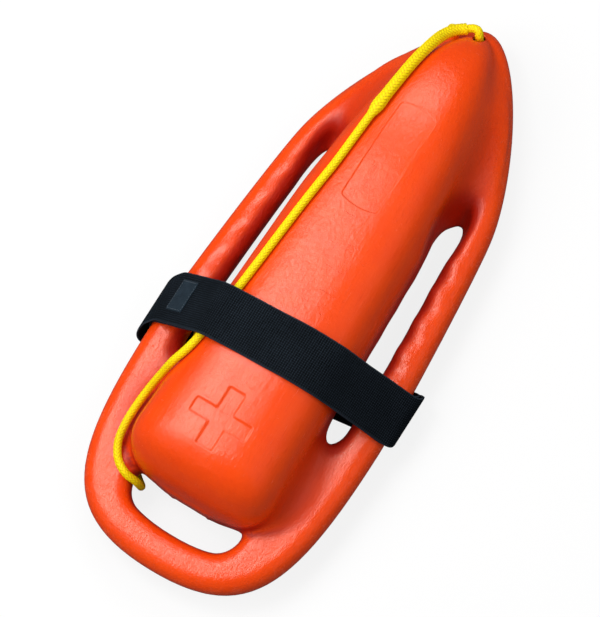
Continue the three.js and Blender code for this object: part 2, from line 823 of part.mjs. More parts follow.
// Where a line at an angle from the strap's centre leaves a closed outline.
function outlineAt(points, angle) {
  const aim = new THREE.Vector2(Math.cos(angle), Math.sin(angle));
  for (let i = 0; i < points.length; i += 1) {
    const from = points[i].clone().sub(strapCentre);
    const run = points[(i + 1) % points.length].clone().sub(points[i]);
    const sideFrom = aim.cross(from);
    const sideTo = aim.cross(from.clone().add(run));
    const forward = aim.dot(from) > 0;
    if (forward && sideFrom <= 0 && sideTo > 0) {
      return points[i].clone().addScaledVector(run, sideFrom / (sideFrom - sideTo));
    }
  }
  return points[0];
}

// Strap's middle line over its two turns, in small steps of angle from the seam under the left grip.
function strapLine() {
  const innerGrowth = seatGap + webThickness / 2;
  const inner = strapSection(innerGrowth, innerSlackLeft, innerSlackRight);
  const outer = strapSection(innerGrowth + webThickness + turnGap, outerSlackLeft, outerSlackRight);
  const angleOf = (x) => Math.atan2(bellyZ - strapCentre.y, x);
  const seam = angleOf(strapSeamX);
  const rampTurn = angleOf(strapSeamX + seamRamp) - seam;
  const total = 4 * Math.PI - (angleOf(strapSeamX + outerEndShort) - seam);
  const steps = 1400;
  return Array.from({ length: steps + 1 }, (_, i) => {
    const turned = (total * i) / steps;
    const share = smooth01((turned - 2 * Math.PI + rampTurn) / rampTurn);
    const spot = outlineAt(inner, seam - turned).lerp(outlineAt(outer, seam - turned), share);
    const upShare = smooth01((spot.y - deckZ + edgeRadius) / (2 * edgeRadius));
    const slew = mix(strapBottomSlewShare, strapTopSlewShare, upShare);
    const lowShare = smooth01((deckZ + edgeRadius + outerStepRise - spot.y) / (edgeRadius + outerStepRise));
    const sideShare = smooth01((-spot.x - outerStepFromX) / (widestHalfWidth - outerStepFromX));
    const step = outerStepAft * share * lowShare * sideShare;
    return { x: spot.x, z: spot.y, y: strapY + slew * spot.x - step };
  });
}

// Stations picked off the middle line, closer together where it bends, each with its outward slope.
function stationsOf(line, count) {
  const directions = line.map((_, i) => {
    const from = line[Math.max(i - 1, 0)];
    const to = line[Math.min(i + 1, line.length - 1)];
    return new THREE.Vector2(to.x - from.x, to.z - from.z).normalize();
  });
  const measure = [0];
  for (let i = 1; i < line.length; i += 1) {
    const run = Math.hypot(line[i].x - line[i - 1].x, line[i].z - line[i - 1].z);
    const bend = Math.abs(directions[i].cross(directions[i - 1]));
    measure.push(measure[i - 1] + run + turningWeight * bend);
  }
  const last = line.length - 1;
  return Array.from({ length: count + 1 }, (_, k) => {
    const wanted = (measure[last] * k) / count;
    const next = Math.min(Math.max(measure.findIndex((value) => value >= wanted), 1), last);
    const share = (wanted - measure[next - 1]) / (measure[next] - measure[next - 1]);
    const from = line[next - 1];
    const to = line[next];
    return {
      x: mix(from.x, to.x, share),
      y: mix(from.y, to.y, share),
      z: mix(from.z, to.z, share),
      out: new THREE.Vector2(-directions[next].y, directions[next].x),
    };
  });
}

// Flat band through stations, from one distance outward of the middle line to another.
function band(stations, inside, outside, halfWidth, shiftY = 0) {
  const rings = stations.map(({ x, y, z, out }) => (
    [[inside, -halfWidth], [inside, halfWidth], [outside, halfWidth], [outside, -halfWidth]].map(
      ([away, aside]) => new THREE.Vector3(x + out.x * away, y + shiftY + aside, z + out.y * away))));
  return toSolid(loft(rings));
}

const strapMiddle = strapLine();

// Least gap between the strap's two turns, in millimetres.
function strapGap(stations) {
  let least = Infinity;
  stations.forEach((station, i) => {
    for (let j = 0; j + 1 < stations.length; j += 1) {
      const apart = Math.abs(j - i);
      if (apart < stations.length / 4) continue;
      const from = stations[j];
      const runX = stations[j + 1].x - from.x;
      const runZ = stations[j + 1].z - from.z;
      const dot = (station.x - from.x) * runX + (station.z - from.z) * runZ;
      const share = clamp01(dot / (runX ** 2 + runZ ** 2));
      const away = Math.hypot(station.x - from.x - runX * share, station.z - from.z - runZ * share);
      least = Math.min(least, away - webThickness);
    }
  });
  return least;
}

function shoulderStrap() {
  const stations = stationsOf(strapMiddle, strapStations);
  console.log(`least gap between the strap's turns: ${strapGap(stations).toFixed(2)} mm`);
  return toGeometry(band(stations, -webThickness / 2, webThickness / 2, webWidth / 2));
}

// Bare label on the outer turn, on top of the left grip.
function strapLabel() {
  const onTop = strapMiddle.map((point, i) => [point, i])
    .filter(([point, i]) => i > strapMiddle.length / 2 && point.z > deckZ && point.x < 0)
    .map(([, i]) => i);
  const middle = strapMiddle[onTop.find((i) => strapMiddle[i].x > labelFromSide - widestHalfWidth)];
  const piece = onTop.map((i) => strapMiddle[i])
    .filter((point) => Math.hypot(point.x - middle.x, point.z - middle.z) < labelWidth / 2);
  const bottom = webThickness / 2 + seatGap;
  const shift = webWidth / 2 - labelInset - labelLength / 2;
  return toGeometry(band(stationsOf(piece, 10), bottom, bottom + labelThickness, labelLength / 2, shift));
}

// Ring's place across the float, beside the can in the left hand slot.
const ringX = -canSize(ringY).halfWidth - ringFromCan;

// Place on the strap's inner turn under the ring, and its direction upward and inward there.
function ringSeatPlace() {
  const index = strapMiddle.findIndex((point) => point.x < ringX);
  const here = strapMiddle[index];
  const before = strapMiddle[index - 1];
  const lean = Math.atan2(here.z - before.z, before.x - here.x);
  return { x: ringX, z: here.z, lean };
}

// Flat shape of a thin band that follows a line of points.
function bandShape(points, thickness) {
  const sides = points.map((point, i) => {
    const back = point.clone().sub(points[Math.max(i - 1, 0)]).normalize();
    const ahead = points[Math.min(i + 1, points.length - 1)].clone().sub(point).normalize();
    const run = back.add(ahead).normalize();
    const away = new THREE.Vector2(-run.y, run.x).multiplyScalar(thickness / 2);
    return [point.clone().add(away), point.clone().sub(away)];
  });
  return new THREE.Shape([...sides.map(([a]) => a), ...sides.map(([, b]) => b).reverse()]);
}

const ringPlace = ringSeatPlace();
const ringLift = webThickness / 2 + ringSeat + ringWire / 2;

// Folded tab over the ring's wire, both feet on the strap.
function ringTab() {
  const bend = ringWire / 2 + tabRoom + tabThickness / 2;
  const footRise = webThickness / 2 + seatGap + tabThickness / 2;
  const heel = bend + tabThickness / 2;
  const toe = bend + tabFoot;
  const points = [new THREE.Vector2(-toe, footRise), new THREE.Vector2(-heel, footRise)];
  for (let i = 0; i <= 12; i += 1) {
    const angle = Math.PI - (Math.PI * i) / 12;
    points.push(new THREE.Vector2(bend * Math.cos(angle), ringLift + bend * Math.sin(angle)));
  }
  points.push(new THREE.Vector2(heel, footRise), new THREE.Vector2(toe, footRise));
  const shape = bandShape(points, tabThickness);
  const tab = new THREE.ExtrudeGeometry(shape, { depth: tabWidth, bevelEnabled: false });
  tab.translate(0, -ringLift, -tabWidth / 2).rotateX(Math.PI / 2).rotateY(ringPlace.lean);
  const wireZ = ringPlace.z + ringLift / Math.cos(ringPlace.lean);
  return toGeometry(toSolid(tab.translate(ringPlace.x, ringY, wireZ)));
}

// Ring that stands across the left grip on the strap.
function strapRing() {
  const ring = new THREE.TorusGeometry(ringRadius, ringWire / 2, 10, 36).rotateY(Math.PI / 2);
  const lift = ringLift / Math.cos(ringPlace.lean) + ringRadius;
  return toGeometry(toSolid(ring.translate(ringPlace.x, ringY, ringPlace.z + lift)));
}

const group = new THREE.Group();

function addPiece(name, geometry, color, roughness, metalness) {
  const material = new THREE.MeshStandardMaterial({ color, roughness, metalness });
  const mesh = new THREE.Mesh(geometry, material);
  mesh.name = name;
  group.add(mesh);
  return mesh;
}

const orange = '#f4471c';

addPiece('hull_shell', hullShell(), orange, 0.42, 0);
addPiece('foam_core', foamCore(), '#e8d9a8', 0.9, 0);
addPiece('fill_plug', toGeometry(toSolid(plugBody(0))), '#c93a18', 0.5, 0);
addPiece('tow_rope', towRope(), '#e3cf17', 0.85, 0);
addPiece('shoulder_strap', shoulderStrap(), '#16191c', 0.8, 0);
addPiece('strap_label', strapLabel(), '#4b5763', 0.9, 0);
addPiece('strap_ring', strapRing(), '#b9bcbf', 0.25, 1);
addPiece('ring_tab', ringTab(), '#1b1e22', 0.85, 0);

export default group;
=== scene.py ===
"""Rescue can buoy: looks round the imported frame. Metres, +Y to the nose, +X right, +Z up."""
import math
from functools import cached_property

import bmesh
import bpy
import numpy as np
from mathutils import Matrix, Vector
from numpy.linalg import norm


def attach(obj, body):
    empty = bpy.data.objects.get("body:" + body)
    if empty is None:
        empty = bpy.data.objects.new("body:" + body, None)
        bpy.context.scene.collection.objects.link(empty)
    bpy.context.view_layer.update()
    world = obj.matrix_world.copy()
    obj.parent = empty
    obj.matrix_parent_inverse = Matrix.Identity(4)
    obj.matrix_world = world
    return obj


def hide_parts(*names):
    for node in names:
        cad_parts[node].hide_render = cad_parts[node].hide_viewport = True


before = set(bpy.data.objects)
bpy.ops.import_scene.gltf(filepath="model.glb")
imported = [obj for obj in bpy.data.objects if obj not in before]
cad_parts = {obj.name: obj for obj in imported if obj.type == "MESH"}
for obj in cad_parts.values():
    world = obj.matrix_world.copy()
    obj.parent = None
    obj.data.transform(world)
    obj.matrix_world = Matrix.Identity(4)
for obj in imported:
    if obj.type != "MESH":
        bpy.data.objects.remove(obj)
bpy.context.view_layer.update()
scene = bpy.context.scene
MM = 0.001

# Camera at the photograph's angle: a long lens, rolled, a little from the right and behind.
IMAGE_HEIGHT, MM_PER_PIXEL = 617, 1.0604
VIEW_ROLL, VIEW_PITCH, VIEW_TURN = (math.radians(a) for a in (13.0, 8.0, 32.64))
VIEW_CENTRE = (-14.66, -19.5)
LENS, SENSOR, CLIP = 400.0, 36.0, (0.1, 60)
DECK_Z = 35.35

side_axis = Vector((math.cos(VIEW_ROLL), 0, -math.sin(VIEW_ROLL)))
lean_axis = Vector((math.sin(VIEW_ROLL), 0, math.cos(VIEW_ROLL)))
nose_axis = Vector((0, 1, 0)) * math.cos(VIEW_PITCH) + lean_axis * math.sin(VIEW_PITCH)
toward = lean_axis * math.cos(VIEW_PITCH) - Vector((0, 1, 0)) * math.sin(VIEW_PITCH)
image_right = side_axis * math.cos(VIEW_TURN) + nose_axis * math.sin(VIEW_TURN)
image_up = nose_axis * math.cos(VIEW_TURN) - side_axis * math.sin(VIEW_TURN)
target = Vector((0, 0, DECK_Z)) + side_axis * VIEW_CENTRE[0] + nose_axis * VIEW_CENTRE[1]
distance = IMAGE_HEIGHT * MM_PER_PIXEL / 2 / (SENSOR / 2 / LENS)


def add(name, data):
    obj = bpy.data.objects.new(name, data)
    scene.collection.objects.link(obj)
    return obj


camera = add("camera", bpy.data.cameras.new("camera"))
camera.data.lens, camera.data.sensor_width = LENS, SENSOR
camera.data.clip_start, camera.data.clip_end = CLIP
turn = Matrix((image_right, image_up, toward)).transposed().to_4x4()
camera.matrix_world = Matrix.Translation((target + toward * distance) * MM) @ turn
scene.camera = camera
scene.view_settings.view_transform = "Standard"


# Plain sums, and curves through points.
def ease(value):
    value = np.clip(value, 0, 1)
    return value * value * (3 - 2 * value)


def mix(a, b, share):
    return a + (b - a) * share


def join(a, b, reach):
    """The nearer of two distances, with the corner between them rounded over a reach."""
    near = np.maximum(reach - np.abs(a - b), 0) / reach
    return np.minimum(a, b) - near * near * reach / 4


def cut(a, b, reach):
    return -join(-a, b, reach)


def along(table, place):
    """Eased between the values of a table of (place, value)."""
    value = np.full(np.shape(place), float(table[0][1]))
    for (p0, v0), (p1, v1) in zip(table, table[1:]):
        value = np.where(place >= p0, mix(v0, v1, ease((place - p0) / (p1 - p0))), value)
    return value


def unit(vector):
    return vector / norm(vector)


def unit_rows(rows):
    return rows / norm(rows, axis=1)[:, None]


def lengths(line):
    """How far along a line each of its points is."""
    return np.r_[0, np.cumsum(norm(np.diff(line, axis=0), axis=1))]


def evenly(line, step):
    run = lengths(line)
    count = max(int(round(run[-1] / step)), 3)
    at = np.linspace(0, run[-1], count + 1)
    return np.stack([np.interp(at, run, line[:, k]) for k in range(line.shape[1])], 1)


def between(t, start, end, p, q):
    return (end - t) / (end - start) * p + (t - start) / (end - start) * q


SPAN_STEPS = 32


def smooth_line(points, step, closed=False):
    """Centripetal curve through points, in even steps."""
    pts = np.array(points, float)
    if closed:
        pts = np.vstack([pts[-1:], pts, pts[:2]])
    else:
        pts = np.vstack([2 * pts[0] - pts[1], pts, 2 * pts[-1] - pts[-2]])
    line = []
    for p0, p1, p2, p3 in zip(pts, pts[1:], pts[2:], pts[3:]):
        knots = [0.0]
        for a, b in ((p0, p1), (p1, p2), (p2, p3)):
            knots.append(knots[-1] + max(norm(b - a), 1e-6) ** 0.5)
        t = np.linspace(knots[1], knots[2], SPAN_STEPS + 1)[:-1, None]
        k0, k1, k2, k3 = knots
        a1, a2 = between(t, k0, k1, p0, p1), between(t, k1, k2, p1, p2)
        a3 = between(t, k2, k3, p2, p3)
        b1, b2 = between(t, k0, k2, a1, a2), between(t, k1, k3, a2, a3)
        line.append(between(t, k1, k2, b1, b2))
    return evenly(np.vstack(line + [pts[-2][None]]), step)


# Lengths are in millimetres from here on, but in metres in materials and on the stage.
# The rope's route as in the part's source, and its two eyes.
ROPE_ROUTE = [
    (-20, 326.5, 63.5), (-28.5, 318.5, 67.5), (-34.5, 306, 77), (-36.5, 288.3, 93),
    (-37.9, 262, 110.3), (-38.8, 232, 122.8), (-40, 204, 130), (-41.5, 178.3, 133.1),
    (-43.1, 150, 133.8), (-45, 120, 134.3), (-48.5, 90, 133.4), (-52, 58, 132.2),
    (-55, 25, 131.1), (-58.1, -10, 129.9), (-61.2, -42, 128.6), (-65, -75, 126.8),
    (-69.1, -106, 124.3), (-74.3, -128, 120.3), (-82.6, -147, 110.5), (-90, -163, 92.4),
    (-95.6, -178.5, 78.6), (-99, -198, 71), (-100, -222, 66), (-97, -244, 61), (-87, -260, 58.4),
    (-73, -268, 56.3), (-61.5, -268.8, 46.9), (-58.3, -268.7, 33), (-60, -267, 20),
    (-70, -260, 12.5), (-83, -246, 11.2), (-95, -222, 11), (-101, -192, 10.9), (-102, -165, 10.8),
    (-100, -148, 10.8), (-97.3, -133.5, 14), (-94.5, -120, 20.6), (-92, -108, 23.5),
]
NOSE_EYE = [
    (-20, 326.5, 63.5), (-13.5, 330.5, 65), (-7.5, 330.5, 67), (-4.2, 326.8, 64), (-4, 325, 56),
    (-4, 325, 40), (-4, 325.2, 24), (-6.2, 326.4, 15.8), (-13, 328, 12.8), (-23, 328.5, 14.4),
    (-34, 327.2, 21), (-40, 324.2, 32), (-38, 323, 46), (-30, 323, 57),
]
RING_EYE = [
    (-92, -109, 23.5), (-95.7, -98, 27), (-95.9, -84.5, 30.2), (-93.7, -78.8, 30.6),
    (-88, -76.4, 30.6), (-82.5, -78.8, 30.3), (-80.4, -84.5, 29.9), (-85.5, -98, 27),
]
ROPE_DIAMETER, SPLICE_DIAMETER = 9.4, 12.8
NOSE_SPLICE, RING_SPLICE, SPLICE_TAPER = 158.0, 70.0, 12.0


# Meshes and materials.
def make(name, points, faces, material, uv=None, layers=None, hide=(), body="float"):
    """A smooth mesh from points in millimetres, riding on a body."""
    mesh = bpy.data.meshes.new(name)
    mesh.from_pydata((np.asarray(points) * MM).tolist(), [], [list(map(int, f)) for f in faces])
    mesh.polygons.foreach_set("use_smooth", [True] * len(mesh.polygons))
    if uv is not None:
        layer = mesh.uv_layers.new(name="UVMap")
        corner = np.zeros(len(mesh.loops), np.int32)
        mesh.loops.foreach_get("vertex_index", corner)
        layer.data.foreach_set("uv", np.asarray(uv, np.float32)[corner].ravel())
    for key, values in (layers or {}).items():
        data = mesh.attributes.new(key, "FLOAT", "POINT")
        data.data.foreach_set("value", np.asarray(values, np.float32))
    mesh.materials.append(material)
    mesh.update()
    obj = add(name, mesh)
    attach(obj, body)
    if hide:
        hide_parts(*hide)
    return obj


class Nodes:
    """A node tree, filled with one call for each node."""

    def __init__(self, tree):
        self.tree = tree

    def put(self, socket, value):
        if isinstance(value, bpy.types.NodeSocket):
            self.tree.links.new(value, socket)
        elif value is not None:
            socket.default_value = value

    def node(self, kind, *values, sockets=None, **settings):
        node = self.tree.nodes.new("ShaderNode" + kind)
        for key, value in settings.items():
            setattr(node, key, value)
        for socket, value in zip(node.inputs, values):
            self.put(socket, value)
        for key, value in (sockets or {}).items():
            self.put(node.inputs[key], value)
        return node

    def math(self, operation, *values):
        return self.node("Math", *values, operation=operation).outputs[0]

    def product(self, a, b):
        return self.math("MULTIPLY", a, b)

    @cached_property
    def place(self):
        return self.node("TexCoord").outputs["Object"]

    @cached_property
    def uv(self):
        return self.node("UVMap", uv_map="UVMap").outputs[0]

    def layer(self, name):
        return self.node("Attribute", attribute_name=name).outputs["Fac"]

    def scaled(self, vector, scale):
        return self.node("VectorMath", vector, scale, operation="MULTIPLY").outputs[0]

    def noise(self, scale, detail=3.0, rough=0.5, distortion=0.0, vector=None):
        """Noise over the object's place or a vector, at one scale or at one for each axis."""
        vector = self.place if vector is None else vector
        if isinstance(scale, tuple):
            vector, scale = self.scaled(vector, scale), 1.0
        sockets = {"Vector": vector, "Scale": scale, "Detail": detail, "Roughness": rough,
                   "Distortion": distortion}
        return self.node("TexNoise", sockets=sockets).outputs[0]

    def ramp(self, value, *stops):
        node = self.node("ValToRGB", value)
        elements = node.color_ramp.elements
        while len(elements) < len(stops):
            elements.new(0.5)
        for element, (at, colour) in zip(elements, stops):
            element.position = at
            element.color = (*colour, 1)
        return node.outputs[0]

    def level(self, value, low, high, out_low=0.0, out_high=1.0):
        return self.node("MapRange", value, low, high, out_low, out_high).outputs[0]

    def blend(self, share, a, b):
        node = self.node("Mix", data_type="RGBA")
        self.put(node.inputs[0], share)
        for socket, value in ((node.inputs[6], a), (node.inputs[7], b)):
            self.put(socket, (*value, 1) if isinstance(value, tuple) else value)
        return node.outputs[2]


class Shader(Nodes):
    """A material: constants on its surface's sockets, nodes for what varies."""

    def __init__(self, name, **constants):
        self.material = bpy.data.materials.new(name)
        self.material.use_nodes = True
        super().__init__(self.material.node_tree)
        self.out = self.tree.nodes["Material Output"]
        self.surface = self.tree.nodes["Principled BSDF"]
        self.base = self.normal = None
        for key, value in constants.items():
            self.surface.inputs[key.replace("_", " ")].default_value = value

    def colour(self, value):
        self.base = value
        self.put(self.surface.inputs["Base Color"], value)

    def tint(self, share, colour):
        self.colour(self.blend(share, self.base, colour))

    def rough(self, value):
        self.put(self.surface.inputs["Roughness"], value)

    def bump(self, height, depth):
        sockets = {"Height": height, "Distance": depth, "Strength": 1.0, "Normal": self.normal}
        self.normal = self.node("Bump", sockets=sockets).outputs[0]
        self.put(self.surface.inputs["Normal"], self.normal)


def times(colour, factor):
    return tuple(factor * c for c in colour)


def hull_material():
    """Clouds, flow lines, worn edges, scratches, and painted shade: a deeper red in the hollows.
    """
    s = Shader("moulded_orange", IOR=1.49, Specular_IOR_Level=0.7,
               Specular_Tint=(1, 0.80, 0.72, 1))
    flow = s.noise((420.0, 30.0, 420.0), 5.0, 0.66, 0.5)
    s.colour(s.blend(s.noise(7.0, 2.0), (0.88, 0.060, 0.002), (0.95, 0.074, 0.003)))
    s.tint(s.level(s.noise(38.0, 4.0, 0.6), 0.35, 0.75, 0.0, 0.3), (0.82, 0.034, 0.002))
    s.tint(s.level(flow, 0.56, 0.78, 0.0, 0.16), (1.0, 0.14, 0.045))
    s.tint(s.level(flow, 0.42, 0.26, 0.0, 0.30), (0.66, 0.024, 0.002))
    wear = s.product(s.layer("wear"), s.level(s.noise(120.0, 6.0, 0.7), 0.48, 0.70))
    s.tint(s.product(wear, 0.35), (0.86, 0.16, 0.07))
    scratch_a = s.noise((900.0, 24.0, 400.0), 2.0, 0.5, 1.5)
    scratch_b = s.noise((40.0, 1100.0, 300.0), 2.0, 0.5, 1.2)
    scratches = s.math("MAXIMUM", s.level(scratch_a, 0.70, 0.76), s.level(scratch_b, 0.72, 0.78))
    s.tint(s.product(scratches, 0.18), (1.0, 0.26, 0.13))
    # Painted shade: the colour goes a darker, deeper red where the skin is shut in.
    s.tint(s.product(s.layer("hollow_shade"), 0.85), (0.40, 0.003, 0.0005))
    rough = s.level(s.noise(210.0, 5.0, 0.7), 0.3, 0.7, 0.18, 0.27)
    rough = s.math("ADD", rough, s.product(s.math("MAXIMUM", wear, scratches), 0.14))
    s.rough(s.math("ADD", rough, s.product(s.layer("hollow_shade"), 0.25)))
    s.bump(s.noise(46.0), 0.0006)
    s.bump(s.noise((300.0, 170.0, 300.0), 4.0, 0.65, 0.4), 0.00045)
    s.bump(s.noise(900.0, 3.0, 0.6), 0.00008)
    s.bump(s.math("SUBTRACT", flow, scratches), 0.00022)
    return s.material


def rope_material():
    s = Shader("yellow_braid", IOR=1.48, Specular_IOR_Level=0.18)
    fibre = s.noise(3.0, 3.0, 0.7, vector=s.scaled(s.uv, (9.0, 0.9, 1.0)))
    # Painted shade: the yellow darkens to brown down between the strands, following the lift
    # layer.
    s.colour(s.ramp(s.layer("lift"), (0.0, (0.34, 0.17, 0.001)), (0.34, (0.80, 0.52, 0.001)),
                    (0.62, (1.0, 0.78, 0.001)), (1.0, (1.0, 0.88, 0.002))))
    s.tint(s.level(fibre, 0.35, 0.75, 0.0, 0.3), (0.80, 0.52, 0.001))
    s.tint(s.product(s.layer("tone"), 0.2), (0.86, 0.66, 0.004))
    s.tint(s.level(s.noise(60.0, 4.0, 0.7), 0.58, 0.8, 0.0, 0.22), (0.42, 0.30, 0.02))
    s.rough(s.level(fibre, 0.3, 0.7, 0.42, 0.62))
    s.bump(fibre, 0.00018)
    return s.material


def webbing_material():
    """Ribbed weave, with a painted highlight: the rib tops are coloured a lighter blue-grey over
    the black. The UV map holds metres along and across the band.
    """
    dark, light, rib = (0.0002, 0.0003, 0.0004), (0.022, 0.031, 0.043), 0.0027
    s = Shader("black_webbing", IOR=1.45, Specular_IOR_Level=0.06, Sheen_Weight=0.01,
               Sheen_Roughness=0.4, Sheen_Tint=(0.55, 0.75, 0.85, 1))
    split = s.node("SeparateXYZ", s.uv)
    wobble = s.product(s.noise(180.0, 2.0, vector=s.uv), 0.35)

    def wave(value, pitch):
        turns = s.math("ADD", s.product(value, math.tau / pitch), wobble)
        return s.level(s.math("SINE", turns), -1.0, 1.0)

    ribs = s.math("POWER", wave(split.outputs[0], rib), 1.3)
    ends = s.level(wave(split.outputs[1], rib * 0.9), 0.0, 1.0, 0.15, 1.0)
    weave = s.product(ribs, ends)
    fuzz = s.noise(700.0, 4.0, 0.7)
    # Painted highlight: the weave's rib tops are lighter than the black between them.
    s.colour(s.blend(weave, dark, light))
    s.tint(s.level(fuzz, 0.45, 0.8, 0.0, 0.4), times(light, 1.5))
    s.tint(s.level(s.noise(22.0), 0.35, 0.7, 0.0, 0.3), dark)
    s.tint(s.product(s.layer("edge"), 0.55), times(light, 1.7))
    s.rough(s.level(weave, 0.0, 1.0, 0.9, 0.66))
    s.bump(weave, 0.00035)
    s.bump(fuzz, 0.0001)
    return s.material


def cloth_material():
    """Plain weave of the label."""
    dark, light, pitch = (0.007, 0.013, 0.020), (0.026, 0.044, 0.062), 0.0011
    s = Shader("label_cloth", IOR=1.45, Specular_IOR_Level=0.12, Sheen_Weight=0.05,
               Sheen_Roughness=0.35)
    split = s.node("SeparateXYZ", s.uv)
    a, b = [s.math("SINE", s.product(v, math.tau / pitch)) for v in split.outputs[:2]]
    weave = s.level(s.product(a, b), -1.0, 1.0)
    s.colour(s.blend(s.product(weave, 0.5), dark, light))
    s.tint(s.level(s.noise(110.0), 0.3, 0.75, 0.0, 0.45), light)
    s.rough(s.level(weave, 0.0, 1.0, 0.82, 0.7))
    s.bump(weave, 0.00012)
    return s.material


def thread_material(name, colour):
    s = Shader(name, Specular_IOR_Level=0.3, Sheen_Weight=0.3)
    twist = s.noise((900.0, 900.0, 900.0), 2.0)
    s.colour(s.blend(twist, times(colour, 0.55), colour))
    s.rough(s.level(twist, 0.3, 0.7, 0.55, 0.8))
    s.bump(twist, 0.0001)
    return s.material


def steel_material():
    s = Shader("stainless_wire", Metallic=1.0)
    fine = s.noise((1400.0, 1400.0, 200.0), 3.0, 0.6)
    s.colour(s.blend(fine, (0.50, 0.51, 0.53), (0.72, 0.73, 0.75)))
    s.tint(s.level(s.noise(160.0, 4.0, 0.7), 0.5, 0.8, 0.0, 0.35), (0.34, 0.29, 0.23))
    s.rough(s.level(fine, 0.3, 0.7, 0.18, 0.34))
    s.bump(fine, 0.00003)
    return s.material


def foam_material():
    s = Shader("closed_cell_foam", Specular_IOR_Level=0.2, Subsurface_Weight=0.1)
    cells = s.node("TexVoronoi", sockets={"Vector": s.place, "Scale": 420.0}).outputs[0]
    s.colour(s.blend(s.noise(18.0), (0.80, 0.70, 0.46), (0.88, 0.80, 0.60)))
    s.tint(s.level(cells, 0.0, 0.5, 0.35, 0.0), (0.55, 0.45, 0.26))
    s.rough(s.level(cells, 0.0, 0.6, 0.95, 0.8))
    s.bump(cells, 0.0004)
    return s.material


def plug_material():
    s = Shader("plug_plastic", IOR=1.49, Specular_IOR_Level=0.35)
    grain = s.noise(700.0, 3.0, 0.6)
    s.colour(s.blend(s.noise(60.0), (0.62, 0.045, 0.01), (0.72, 0.075, 0.02)))
    s.rough(s.level(grain, 0.3, 0.7, 0.45, 0.62))
    s.bump(grain, 0.00008)
    return s.material


# Hull: the part's own forms at a finer grid.
NOSE_Y = 680.0 / 2
BELLY_Z, BELLY_TRIM, BELLY_EDGE = 5.35, 1.2, 1.6
EDGE_RADIUS, DECK_LAND = 16.5, 1.0
# The half outline's points, as half width and run aft of the nose, and its curves' handles.
SHOULDER, SHOULDER_LEAN = (120.5, 192), 0.18
WIDEST, WIDEST_RUN = 141.6, 451
NOSE_HANDLE, TO_SHOULDER, FROM_SHOULDER, TO_WIDEST, FROM_WIDEST, STERN_HANDLE = (
    41, 71, 41, 40, 167, 120)
# Grips and hand slots.
RAIL_WIDTH, RAIL_TAPER, SLOT_SIDE, SLOT_FORE, SLOT_AFT = 37.3, 0.028, 60, 140, -132
STERN_BAR, STERN_BOW, STERN_HALF, SLOT_LIP = 44.5, 10, 68.5, 2
WAVE_DEPTH, WAVE_PITCH, WAVE_PHASE = 1.3, 37, 6.7
WAVE_AFT, WAVE_FORE, WAVE_FADE = -46, 128, 16
WAVE_INSET, WAVE_SPREAD, WAVE_RISE = 9, 17, 13
# The can, its blend with the deck by the run aft of the nose, and the scoop beside its nose.
CROWN, BELLY, CAN_POWER = 100.0, 30.0, 2.8
CAN_STERN, NOSE_INSET = -261, 8
CAN_FLARE, FLARE_FORE = (73.5, 89.5), 140
FILLETS = [(4, 2), (94, 54), (125, 54), (215, 24), (470, 24), (530, 38), (610, 4)]
UNDER_FILLET, FILLET_RISE = 12, 16
SCOOP_CENTRE, SCOOP_RADII, SCOOP_BLEND = (83, 134, 27), (14, 34, 38), 10
# Holes, cross and plate.
NOSE_HOLE, NOSE_HOLE_EDGE = (-4.0, 325.0, 6.5), 2.5
PLUG_Y, PLUG_HOLE, PLUG_SEAT, PLUG_SEAT_EDGE = -205.0, 14.4, 2.8, 1.0
CROWN_Z = DECK_Z + 50
CROSS_Y, CROSS_REACH, CROSS_ARMS, CROSS_CORNER = -176, 34.5, (8.6, 9.8), 2.6
CROSS_DEPTH, CROSS_WALL, CROSS_BLEND = 1.2, 3.4, 3.0
PLATE_Y, PLATE_HALF, PLATE_BOW, PLATE_CORNER = 153, (22, 59), 4, 3.0
PLATE_DEPTH, PLATE_WALL = 0.8, 2.2
# The grid's cell, its reach from the middle and upward, and how near a detail it is halved.
CELL, GRID_REACH, GRID_LOW = (3.4, 3.8, 3.2), (147, 346, 142), 0.4
HALVED_WITHIN = (7.5, 4.6, 2.6)
HOLLOW_PROBES = ((9.0, 0.8), (20.0, 1.1), (38.0, 1.1))


def bezier(p0, p1, p2, p3, count=26):
    t = np.linspace(0, 1, count + 1)[:, None]
    p0, p1, p2, p3 = (np.array(p, float) for p in (p0, p1, p2, p3))
    return (1 - t) ** 3 * p0 + 3 * (1 - t) ** 2 * t * p1 + 3 * (1 - t) * t * t * p2 + t ** 3 * p3


def half_outline():
    lean = np.array((SHOULDER_LEAN, -1.0)) / math.hypot(SHOULDER_LEAN, 1)
    shoulder = np.array((SHOULDER[0], NOSE_Y - SHOULDER[1]))
    y = NOSE_Y - WIDEST_RUN
    a = bezier((0, NOSE_Y), (NOSE_HANDLE, NOSE_Y), shoulder - TO_SHOULDER * lean, shoulder)
    b = bezier(shoulder, shoulder + FROM_SHOULDER * lean, (WIDEST, y + TO_WIDEST), (WIDEST, y))
    c = bezier((WIDEST, y), (WIDEST, y - FROM_WIDEST), (STERN_HANDLE, -NOSE_Y), (0, -NOSE_Y))
    return np.vstack([a, b[1:], c[1:]])


OUTLINE = half_outline()


def outline_distance(x, y):
    """Distance in plan to the float's outline, less than 0 inside."""
    side = np.abs(x)
    nearest = np.full(np.shape(side), 1e9)
    inside = np.zeros(np.shape(side), bool)
    for a, b in zip(OUTLINE, OUTLINE[1:]):
        run = b - a
        share = np.clip(((side - a[0]) * run[0] + (y - a[1]) * run[1]) / (run @ run), 0, 1)
        away = np.hypot(side - a[0] - run[0] * share, y - a[1] - run[1] * share)
        nearest = np.minimum(nearest, away)
        if a[1] != b[1]:
            inside ^= ((a[1] > y) != (b[1] > y)) & (side < a[0] + (y - a[1]) / run[1] * run[0])
    return np.where(inside, -nearest, nearest)


